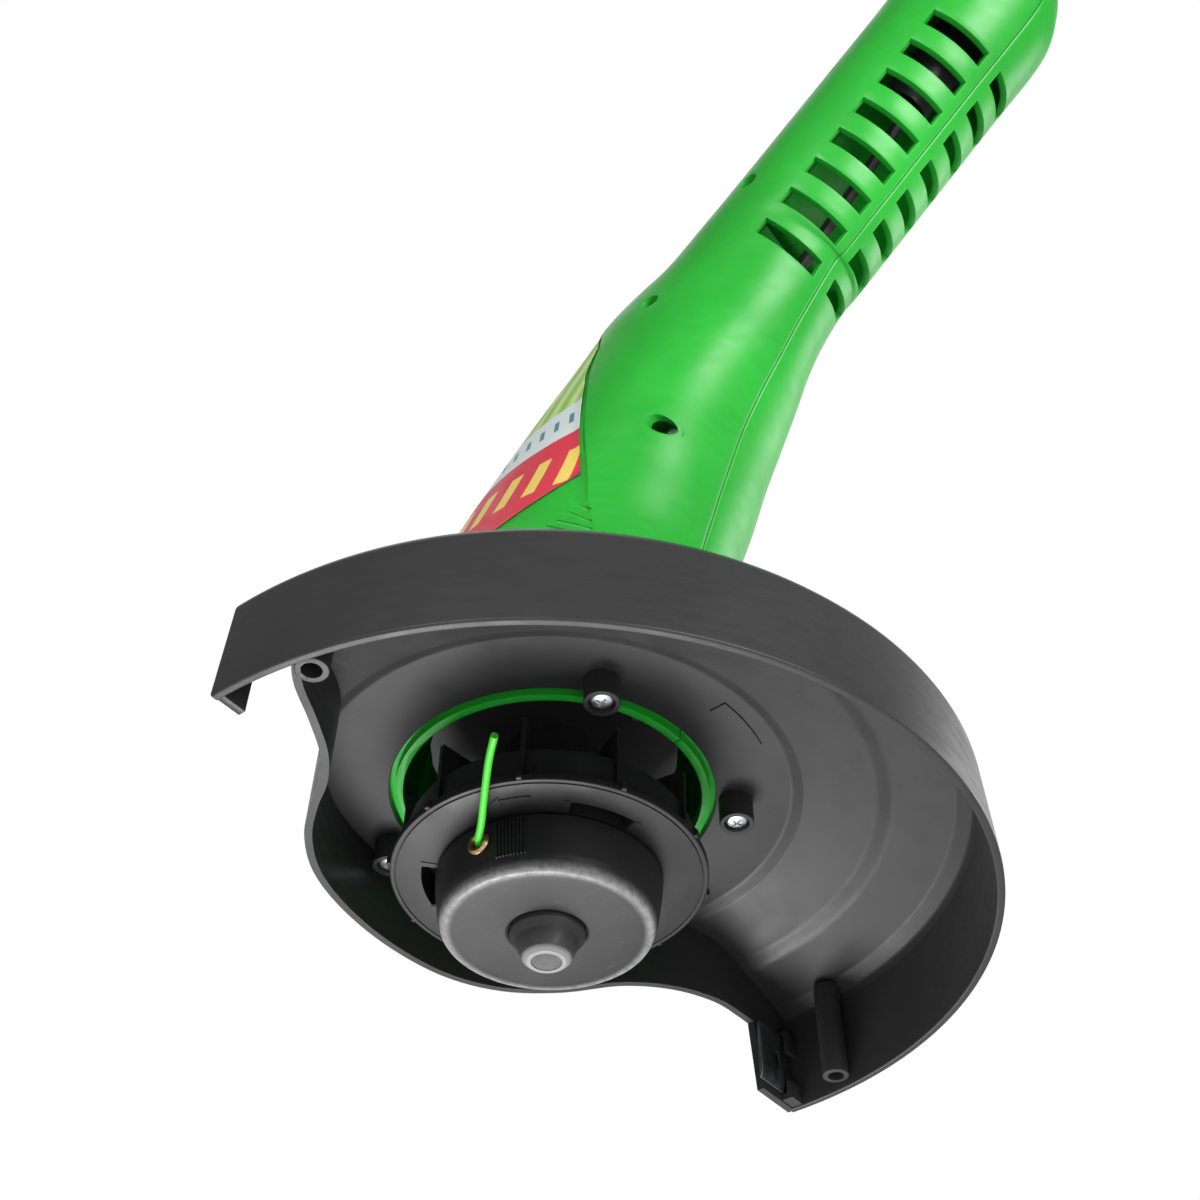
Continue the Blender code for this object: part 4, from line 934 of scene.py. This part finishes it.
HALF_GAP = 0.00012
HOUSING_WALL = 0.0030
MOUTH_R = 0.0566
MOUTH_WALL = 0.0029
MOUTH_Z = 0.0672
HOUSING_SECTIONS = (
    (-0.0740, 0.0715, 0.0740, 0.0715, 0.0740, 0.00, 2.0),
    (-0.0725, 0.0950, 0.0725, 0.0930, 0.0715, 0.00, 2.0),
    (-0.0680, 0.1250, 0.0700, 0.1200, 0.0650, 0.02, 2.0),
    (-0.0600, 0.1600, 0.0690, 0.1480, 0.0570, 0.05, 2.1),
    (-0.0480, 0.1960, 0.0775, 0.1740, 0.0510, 0.08, 2.2),
    (-0.0300, 0.2200, 0.0850, 0.1930, 0.0485, 0.10, 2.3),
    (-0.0100, 0.2440, 0.0935, 0.2130, 0.0465, 0.10, 2.3),
    (0.0110, 0.2690, 0.1030, 0.2300, 0.0440, 0.09, 2.3),
    (0.0300, 0.2925, 0.1130, 0.2450, 0.0420, 0.06, 2.2),
    (0.0440, 0.3040, 0.1230, 0.2600, 0.0395, 0.02, 2.1),
    (0.0620, 0.3135, 0.1340, 0.2750, 0.0375, 0.00, 2.0),
    (0.0830, 0.3300, 0.1460, 0.2900, 0.0366, 0.00, 2.0),
)
NECK_Y = 0.1765
NECK_Z = 0.3613
NECK_ANGLE = math.radians(40)
NECK_R = 0.0364
NECK_START = -0.062
NECK_TAPER = 0.078
NECK_END = 0.122
VENT_FIRST = -0.078
VENT_PITCH = 0.0174
VENT_COUNT = 8
HOUSING_SCREWS = ((0.1280, 0.3260, 0.0350, 0.0145), (0.0775, 0.2710, 0.0402, 0.0145),
                  (0.0755, 0.1965, 0.0255, 0.0240))
# where the crease between the hood's face and its flank runs: row, turn
CREASE = ((0.0, 2.62), (2.7, 2.385), (5.2, 1.85), (7.3, 1.395), (7.95, 1.09), (8.5, 0.62),
          (9.0, 0.16))
FACE_INSET = 0.0009
LABEL_FILM = 0.0002
LABEL_PROUD = 0.00025
SIDE_NAMES = {1: "left", -1: "right"}


def along_neck(distance, up=0.0, x=0.0):
    y = NECK_Y + distance * math.cos(NECK_ANGLE) - up * math.sin(NECK_ANGLE)
    z = NECK_Z + distance * math.sin(NECK_ANGLE) + up * math.cos(NECK_ANGLE)
    return (x, y, z)


def housing_rows():
    rows = [list(row) for row in HOUSING_SECTIONS]
    reach = [(NECK_START + (NECK_TAPER - NECK_START) * i / 4, NECK_R) for i in range(5)]
    reach += [(0.095, 0.0310), (0.106, 0.0240), (0.113, 0.0180), (NECK_END, 0.0157)]
    for distance, radius in reach:
        _, front_y, front_z = along_neck(distance, radius)
        _, rear_y, rear_z = along_neck(distance, -radius)
        rows.append([front_y, front_z, rear_y, rear_z, radius, 0.0, 2.0])
    return np.array(rows)


def section_point(row, turn, side):
    """A point of one section: turn runs from 0 at the front to pi at the rear."""
    power = 2 / row[6]
    lean = math.cos(turn)
    along = (1 - math.copysign(abs(lean) ** power, lean)) / 2
    width = row[4] * max(math.sin(turn), 0.0) ** power * (1 - row[5] * lean)
    return np.array((side * (width + HALF_GAP), row[0] + (row[2] - row[0]) * along,
                     row[1] + (row[3] - row[1]) * along))


def crease_turn(place):
    return float(np.interp(place, *zip(*CREASE)))


def surface(rows, side, places, turns_at, inset_at):
    """Points of a moulded half, moved in along the surface normal by inset_at(place, j)."""
    grid = np.array([[section_point(catmull(rows, p), t, side) for t in turns_at(p)]
                     for p in places])
    along = np.gradient(grid, axis=0)
    across = np.gradient(grid, axis=1)
    normal = np.cross(across, along) * side
    size = np.linalg.norm(normal, axis=2, keepdims=True)
    normal = np.where(size > 1e-12, normal / np.maximum(size, 1e-12), 0.0)
    normal[:, 0, 0] = 0.0
    normal[:, -1, 0] = 0.0
    inset = np.array([[inset_at(p, j, grid[i, j]) for j in range(grid.shape[1])]
                      for i, p in enumerate(places)])
    return grid - normal * inset[:, :, None]


def grid_faces(rows, columns, side):
    faces = []
    for i in range(rows - 1):
        for j in range(columns - 1):
            a = i * columns + j
            quad = (a, a + columns, a + columns + 1, a + 1)
            faces.append(quad if side < 0 else quad[::-1])
    return faces


FACE_COLUMNS = 26
FLANK_COLUMNS = 44
SEAM_TURNS = (0.0, 0.004, 0.012, 0.03)
SEAM_DEPTH = 0.0006
SEAM_REACH = 0.0004


def housing_turns(place):
    """Angles round half a section, with a pair of columns on the crease."""
    crease = crease_turn(place)
    face = np.linspace(0.05, crease - 0.012, FACE_COLUMNS)
    flank = np.linspace(crease + 0.012, math.pi - 0.05, FLANK_COLUMNS)
    return [*SEAM_TURNS, *face, *flank, *[math.pi - t for t in reversed(SEAM_TURNS)]]


def seam_round(point):
    """How far the surface is let in beside the seam."""
    return SEAM_DEPTH * math.exp(-max(abs(point[0]) - HALF_GAP, 0.0) / SEAM_REACH)


def housing_inset(place, column, point):
    """Step down to the label face, and rounded edges along the seam."""
    on_face = column < len(SEAM_TURNS) + FACE_COLUMNS
    fade = np.interp(place, (0.0, 2.4, 3.4, 8.2, 8.9), (0.0, 0.15, 1.0, 1.0, 0.0))
    return (FACE_INSET * fade if on_face else 0.0) + seam_round(point)


def vent_cutter(middle, side):
    """A louvre slot: wide at the neck's surface, narrow inside, curved round the neck."""
    inner, outer = 0.0290, 0.0480
    section = [(outer, -0.0062), (outer, 0.0068), (inner, 0.0036), (inner, -0.0019)]
    start, end = (122, 172)
    points, steps = [], 14
    for i in range(steps + 1):
        turn = math.radians(start + (end - start) * i / steps)
        for radius, shift in section:
            x = side * radius * math.sin(turn)
            points.append(along_neck(middle - shift, radius * math.cos(turn), x))
    faces = []
    for i in range(steps):
        for j in range(4):
            a, b = i * 4 + j, i * 4 + (j + 1) % 4
            faces.append((a, b, b + 4, a + 4))
    faces += [(3, 2, 1, 0), tuple(steps * 4 + j for j in range(4))]
    item = mesh_object("vent", points, faces)
    body = bmesh.new()
    body.from_mesh(item.data)
    bmesh.ops.recalc_face_normals(body, faces=body.faces)
    body.to_mesh(item.data)
    body.free()
    return item


def housing_base(side):
    """Floor over the guard, the round mouth through it, and the screw bosses."""
    start, end = (-90, 90) if side > 0 else (90, 270)
    inner = MOUTH_R - MOUTH_WALL
    made = []
    for outer, low, high in ((0.0722, 0.0715, 0.0742), (MOUTH_R, MOUTH_Z, 0.0735)):
        outline = arc(outer, start, end, 72) + arc(inner, end, start, 72)
        made.append(prism("base", [(x + side * 0.0004, y) for x, y in outline], low, high))
    base = join(made[0], made[1])
    bosses, bores = [], []
    for degrees in SCREW_ANGLES:
        x, y = polar(SCREW_CIRCLE_R, degrees)
        if x * side > 0:
            bosses.append(rod("boss", (x, y, 0.0725), (x, y, 0.0920), 0.0052, 24))
            bores.append(rod("bore", (x, y, 0.06), (x, y, 0.0880), 0.0023, 16))
    join(base, *bosses)
    return cut(base, *bores)


# short grooves under the label: place and turn of their two ends on the hood's face
GROOVES = (((3.23, 2.20), (3.12, 2.30)), ((3.10, 2.15), (2.90, 2.33)),
           ((2.92, 2.11), (2.75, 2.35)), ((2.83, 2.06), (2.58, 2.31)))


def face_grooves(rows, side):
    """Four straight grooves on the hood's face, between the label and the crease."""
    tools = []
    for first, last in GROOVES:
        points = []
        for share in np.linspace(0, 1, 9):
            at, turn = (a + (b - a) * share for a, b in zip(first, last))
            points.append(section_point(catmull(rows, at), turn, side))
        middle = np.array((0.0, 0.07, points[0][2]))
        points = [p + (middle - p) / np.linalg.norm(middle - p) * 0.0008 for p in points]
        tools.append(sweep("groove", points, 0.0010, 12))
    return tools


def housing_half(name, side):
    """One moulded half, with its vents, grooves and screw posts."""
    rows = housing_rows()
    places = np.concatenate([np.linspace(0, 12, 145), np.linspace(12, len(rows) - 1, 56)[1:]])
    grid = surface(rows, side, places, housing_turns, housing_inset)
    count, columns = grid.shape[:2]
    item = mesh_object(name, grid.reshape(-1, 3), grid_faces(count, columns, side))
    thicken(item, HOUSING_WALL)
    join(item, housing_base(side))
    cut(item, *[vent_cutter(VENT_FIRST + VENT_PITCH * i, side) for i in range(VENT_COUNT)])
    cut(item, *face_grooves(rows, side))
    posts = [rod("post", (side * 0.0004, y, z), (side * (reach - 0.004 * (side < 0)), y, z),
                 0.0054, 32) for y, z, reach, _ in HOUSING_SCREWS]
    join(item, *posts)
    if side > 0:
        cut(item, *[rod("well", (seat, y, z), (0.09, y, z), 0.0042, 48)
                    for y, z, _, seat in HOUSING_SCREWS])
        cut(item, *[rod("clear", (-0.005, y, z), (seat + 0.0015, y, z), 0.0021, 16)
                    for y, z, _, seat in HOUSING_SCREWS])
    else:
        cut(item, *[rod("pilot", (0.005, y, z), (-0.0150, y, z), 0.0018, 16)
                    for y, z, _, _ in HOUSING_SCREWS])
    dress(rounded_edges(item, 0.0004, 2, 42), "green", f"housing_{SIDE_NAMES[side]}")


def label(side):
    """A thin sticker that fills the hood's face, inside the crease."""
    rows = housing_rows()
    places = np.linspace(3.05, 7.95, 60)
    columns = 40

    def turns(place):
        last = crease_turn(place) - 0.035
        low = np.interp(place, (3.05, 3.8), (0.72, 1.0))
        return np.linspace(0.12, 0.12 + (last - 0.12) * low, columns)

    def lift(place, column, point):
        return FACE_INSET - LABEL_PROUD

    grid = surface(rows, side, places, turns, lift)
    item = mesh_object(f"sticker_{SIDE_NAMES[side]}", grid.reshape(-1, 3),
                       grid_faces(len(places), columns, side))
    dress(thicken(item, LABEL_FILM, even=False), "label", f"label_{SIDE_NAMES[side]}")


# ---------------------------------------------------------------- tube and handles

TUBE_R = 0.0125
TUBE_START = 0.020
TUBE_END = 0.660
CLAMP_AT = 0.430
HANDLE_START = 0.600
HANDLE_INSET = 0.0010
HANDLE_WALL = 0.0026
GROOVE_DEPTH = 0.0009
HUB_RISE = 0.032
HANDLE_ROWS = (
    (0.000, 40, 0.0160, 0.0160), (0.004, 40, 0.0200, 0.0190), (0.040, 40, 0.0230, 0.0205),
    (0.036, 38, 0.0275, 0.0205), (0.030, 34, 0.0280, 0.0200), (0.030, 27, 0.0240, 0.0190),
    (0.030, 20, 0.0200, 0.0180), (0.035, 14, 0.0190, 0.0175), (0.040, 10, 0.0195, 0.0180),
    (0.030, 8, 0.0225, 0.0190), (0.010, 8, 0.0205, 0.0175), (0.003, 8, 0.0095, 0.0095),
)
GRIP_ANGLE = math.radians(32)
GRIP_ORIGIN = (0.7080, 0.8020)
TRIGGER_PIVOT = (-0.0200, -0.0130)
LOCK_PLACE = (0.0060, 0.0120)
HANDLE_SCREWS = ((-0.0225, 0.0135), (0.1230, -0.0165))


def tube():
    profile = [(TUBE_R, TUBE_END), (TUBE_R, TUBE_START), (TUBE_R - 0.0012, TUBE_START),
               (TUBE_R - 0.0012, TUBE_END)]
    item = lathe("shaft_tube", fillet(profile, 0.0003, True), 96, True)
    way = Vector(along_neck(1)) - Vector(along_neck(0))
    placed(item, Matrix.Translation(along_neck(0)) @ facing(way))
    dress(item, "tube", "tube")


def handle_rows():
    rows = []
    y, z = along_neck(HANDLE_START)[1:]
    for travel, degrees, depth, width in HANDLE_ROWS:
        angle = math.radians(degrees)
        y += travel * math.cos(angle)
        z += travel * math.sin(angle)
        up = (-math.sin(angle), math.cos(angle))
        depth -= HANDLE_INSET
        rows.append([y + up[0] * depth, z + up[1] * depth, y - up[0] * depth, z - up[1] * depth,
                     width, 0.0, 2.2])
    return np.array(rows)


def grip(s, v):
    """(y, z) of a point in the grip: s along it to the rear, v upwards from the middle."""
    y = GRIP_ORIGIN[0] + s * math.cos(GRIP_ANGLE) - v * math.sin(GRIP_ANGLE)
    z = GRIP_ORIGIN[1] + s * math.sin(GRIP_ANGLE) + v * math.cos(GRIP_ANGLE)
    return (y, z)


def handle_turns(_):
    inner = np.linspace(0.06, math.pi - 0.06, 50)
    return [*SEAM_TURNS, *inner, *[math.pi - t for t in reversed(SEAM_TURNS)]]


def handle_inset(place, column, point):
    """Shallow grip grooves round the rear grip, rounded seam edges."""
    turn = handle_turns(0)[column]
    rib = max(0.0, math.sin(TAU * place * 2.6)) ** 2
    zone = np.interp(place, (4.9, 5.3, 8.4, 8.8), (0, 1, 1, 0))
    band = np.interp(turn, (0.5, 0.8, 2.3, 2.6), (0, 1, 1, 0))
    return GROOVE_DEPTH * rib * zone * band + seam_round(point)


def handle_half(side):
    """One shell of the rear handle, with the trigger gate and screw posts."""
    name = SIDE_NAMES[side]
    rows = handle_rows()
    places = np.linspace(0, len(rows) - 1, 240)
    grid = surface(rows, side, places, handle_turns, handle_inset)
    count, columns = grid.shape[:2]
    item = mesh_object(f"grip_{name}", grid.reshape(-1, 3), grid_faces(count, columns, side))
    thicken(item, HANDLE_WALL)
    gate = [grip(-0.0270, -0.0120), grip(0.0375, -0.0120), grip(0.0375, -0.0480),
            grip(-0.0270, -0.0480)]
    cut(item, side_plate("gate", gate, -0.0068, 0.0068))
    spots = [grip(*place) for place in HANDLE_SCREWS]
    if side > 0:
        join(item, *[rod("post", (0.0004, y, z), (0.0160, y, z), 0.0046, 24) for y, z in spots])
        cut(item, *[rod("well", (0.0105, y, z), (0.03, y, z), 0.0033, 32) for y, z in spots])
        y, z = grip(*LOCK_PLACE)
        cut(item, *[rod("clear", (-0.005, y, z), (0.012, y, z), 0.0018, 16) for y, z in spots],
            rod("lock_hole", (0.005, y, z), (0.03, y, z), 0.0052, 48))
    else:
        join(item, *[rod("post", (-0.0004, y, z), (-0.0160, y, z), 0.0046, 24) for y, z in spots])
        cut(item, *[rod("pilot", (0.005, y, z), (-0.0120, y, z), 0.0016, 16) for y, z in spots])
    dress(rounded_edges(item, 0.0004, 2, 42), "grip", f"handle_{name}")


def trigger():
    shape = [(-0.0240, -0.0150), (-0.0235, -0.0110), (-0.0200, -0.0085), (0.0000, -0.0090),
             (0.0200, -0.0100), (0.0330, -0.0120), (0.0345, -0.0300), (0.0310, -0.0395),
             (0.0180, -0.0370), (0.0000, -0.0335), (-0.0160, -0.0290), (-0.0225, -0.0220)]
    radii = (0.002, 0.001, 0.001, 0.002, 0.002, 0.001, 0.004, 0.003, 0.02, 0.02, 0.006, 0.003)
    outline = [grip(s, v) for s, v in fillet(shape, radii, True, 6)]
    body = side_plate("trigger_lever", outline, -0.0062, 0.0062)
    y, z = grip(*TRIGGER_PIVOT)
    rounded_edges(body, 0.0014, 3, 60)
    cut(body, rod("bore", (-0.01, y, z), (0.01, y, z), 0.0018, 24))
    dress(body, "black", "trigger")


def lock_button():
    y, z = grip(*LOCK_PLACE)
    profile = [(0, 0.0236), (0.0026, 0.0240), (0.0046, 0.0236), (0.0048, 0.0222),
               (0.0048, 0.0136), (0.0060, 0.0134), (0.0060, 0.0124), (0.0030, 0.0122),
               (0.0030, 0.0085), (0, 0.0085)]
    radii = (0, 0.003, 0.001, 0, 0, 0.0003, 0.0003, 0, 0.0003, 0)
    item = lathe("lock_push_button", fillet(profile, radii), 64)
    placed(item, Matrix.Translation((0, y, z)) @ Matrix.Rotation(math.pi / 2, 4, "Y"))
    dress(item, "black", "lock_button")


def cord_gland():
    """Ribbed bushing in the butt of the handle."""
    rows = handle_rows()
    y, z = (rows[-1][0] + rows[-1][2]) / 2, (rows[-1][1] + rows[-1][3]) / 2
    outer = [(0.0050, 0.0160)]
    for index in range(4):
        top = 0.0152 - 0.0030 * index
        radius = 0.0052 + 0.0003 * index
        outer += [(radius, top), (radius, top - 0.0018), (radius - 0.0008, top - 0.0019),
                  (radius - 0.0008, top - 0.0029)]
    outer += [(0.0090, 0.0030), (0.0090, 0.0006), (0.0063, 0.0003), (0.0063, -0.0060),
              (0.0036, -0.0060), (0.0036, 0.0160)]
    item = lathe("gland_bushing", fillet(outer, 0.0003, True, 3), 64, True)
    lean = math.radians(HANDLE_ROWS[-1][1])
    placed(item, Matrix.Translation((0, y, z)) @ Matrix.Rotation(lean - math.pi / 2, 4, "X"))
    dress(item, "cable", "cord_gland")


def loop_handle():
    """Bent auxiliary handle with a ribbed grip along its top."""
    hub = Vector(along_neck(CLAMP_AT, HUB_RISE))
    forward = Vector(along_neck(1.0)) - Vector(along_neck(0.0))
    rise = (Vector((0, -math.sin(NECK_ANGLE), math.cos(NECK_ANGLE))) * 0.94
            - forward * 0.34).normalized()
    shape = [(0.0300, 0.000), (0.0302, 0.024), (0.0460, 0.050), (0.0660, 0.074), (0.0690, 0.100),
             (0.0560, 0.124), (0.0300, 0.134), (0.0, 0.136)]
    full = shape + [(-x, v) for x, v in reversed(shape[:-1])]
    count = 360
    path = smooth_path(full, count)
    points = [hub + rise * v + Vector((x, 0, 0)) for x, v in path]
    radii = []
    for index in range(count):
        share = index / (count - 1)
        zone = np.interp(share, (0.25, 0.28, 0.72, 0.75), (0, 1, 1, 0))
        radii.append(0.0108 - 0.0007 * zone * max(0.0, math.sin(TAU * share * 42)) ** 1.5)
    body = sweep("loop_bar", points, radii, 48)
    eyes, bores = [], []
    for sign in (1, -1):
        near = hub + Vector((sign * 0.0170, 0, 0))
        far = hub + Vector((sign * 0.0430, 0, 0))
        eyes.append(rod("eye", near, far, 0.0125, 48, 0.0008))
        shift = Vector((sign * 0.01, 0, 0))
        bores.append(rod("bore", near - shift, far + shift, 0.0043, 32))
    join(body, *eyes)
    cut(body, *bores)
    dress(body, "grip", "loop_handle", sharp=40)


def coil(name, node, radius, wire, low, high, turns, lie=None):
    """A coil spring along Z, or laid along another axis by a matrix."""
    count = int(turns * 40)
    path = [(*polar(radius, 360 * turns * i / count), low + (high - low) * i / count)
            for i in range(count + 1)]
    item = sweep(name, path, wire, 12)
    if lie:
        placed(item, lie)
    return dress(item, "steel", node)


def springs():
    """Coil springs for the bump knob, the lock button and the trigger, each with a mesh of its own."""
    feed = coil("feed_coil", "feed_spring", 0.0089, 0.0006, 0.0266, 0.0400, 4)
    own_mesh(feed)
    y, z = grip(*LOCK_PLACE)
    lie = Matrix.Translation((0, y, z)) @ Matrix.Rotation(math.pi / 2, 4, "Y")
    lock = coil("lock_coil", "lock_spring", 0.0037, 0.0003, 0.0072, 0.0116, 2, lie)
    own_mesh(lock)
    y, z = grip(0.0050, 0.0)
    lie = Matrix.Translation((0, y, z)) @ Matrix.Rotation(GRIP_ANGLE, 4, "X")
    back = coil("trigger_coil", "trigger_spring", 0.0026, 0.0004, -0.0085, 0.0020, 3, lie)
    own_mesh(back)


def handle_clamp():
    hub = Vector(along_neck(CLAMP_AT, HUB_RISE))
    body = rod("tube_clamp", along_neck(CLAMP_AT - 0.019), along_neck(CLAMP_AT + 0.019), 0.0185,
               96, 0.0012)
    shape = [(-0.0140, 0.0), (0.0140, 0.0), (0.0125, 0.034), (0.0090, 0.042), (0.0, 0.0450),
             (-0.0090, 0.042), (-0.0125, 0.034)]
    outline = [along_neck(CLAMP_AT + s, v)[1:] for s, v in fillet(shape, 0.004, True)]
    join(body, side_plate("web", outline, -0.0165, 0.0165))
    cut(body, rod("tube_bore", along_neck(CLAMP_AT - 0.03), along_neck(CLAMP_AT + 0.03),
                  TUBE_R + 0.0002, 96))
    side = Vector((0.03, 0, 0))
    cut(body, rod("bolt_bore", hub - side, hub + side, 0.0043, 32))
    dress(rounded_edges(body, 0.0005, 2, 50), "black", "handle_clamp")
    clamp_knob(hub)


def clamp_knob(hub):
    """Six-lobed knob with a domed face."""
    outline = [polar(0.0165 + 0.0020 * math.cos(math.radians(6 * d)), d) for d in range(0, 360, 4)]
    knob = prism("star_knob", outline, 0.0434, 0.0580)
    rounded_edges(knob, 0.0018, 4, 50)
    join(knob, lathe("hub_cap", fillet([(0, 0.0588), (0.0090, 0.0588), (0.0098, 0.0570),
                                        (0, 0.0570)], (0, 0.0006, 0, 0)), 48))
    cut(knob, rod("bore", (0, 0, 0.040), (0, 0, 0.0545), 0.0043, 32))
    placed(knob, Matrix.Translation(hub) @ Matrix.Rotation(math.pi / 2, 4, "Y"))
    dress(knob, "black", "clamp_knob")


# ---------------------------------------------------------------- putting it together

def dress_kept_nodes():
    """CAD nodes that stay in view get the material of their slot."""
    for name, item in frame["nodes"].items():
        item.data.materials.clear()
        item.data.materials.append(LOOKS[SLOT_LOOKS[SLOT_OF[name]]])


LOOKS = build_looks()
make_camera()
cutting_line()
make_stage()
dress_kept_nodes()
bump_button()
spool_cap()
eyelet()
fan_carrier()
guard()
line_cutter()
for side in (1, -1):
    housing_half(f"shell_{SIDE_NAMES[side]}", side)
    label(side)
    handle_half(side)
for index in (1, 2, 3):
    screw(f"guard_screw_{index}", 0.0040, 0.0019, (0, 0, -1))
    screw(f"housing_screw_{index}", 0.0037, 0.0015, (1, 0, 0))
for index in (1, 2):
    screw(f"handle_screw_{index}", 0.0029, 0.0013, (1, 0, 0))
tube()
trigger()
lock_button()
cord_gland()
loop_handle()
handle_clamp()
springs()
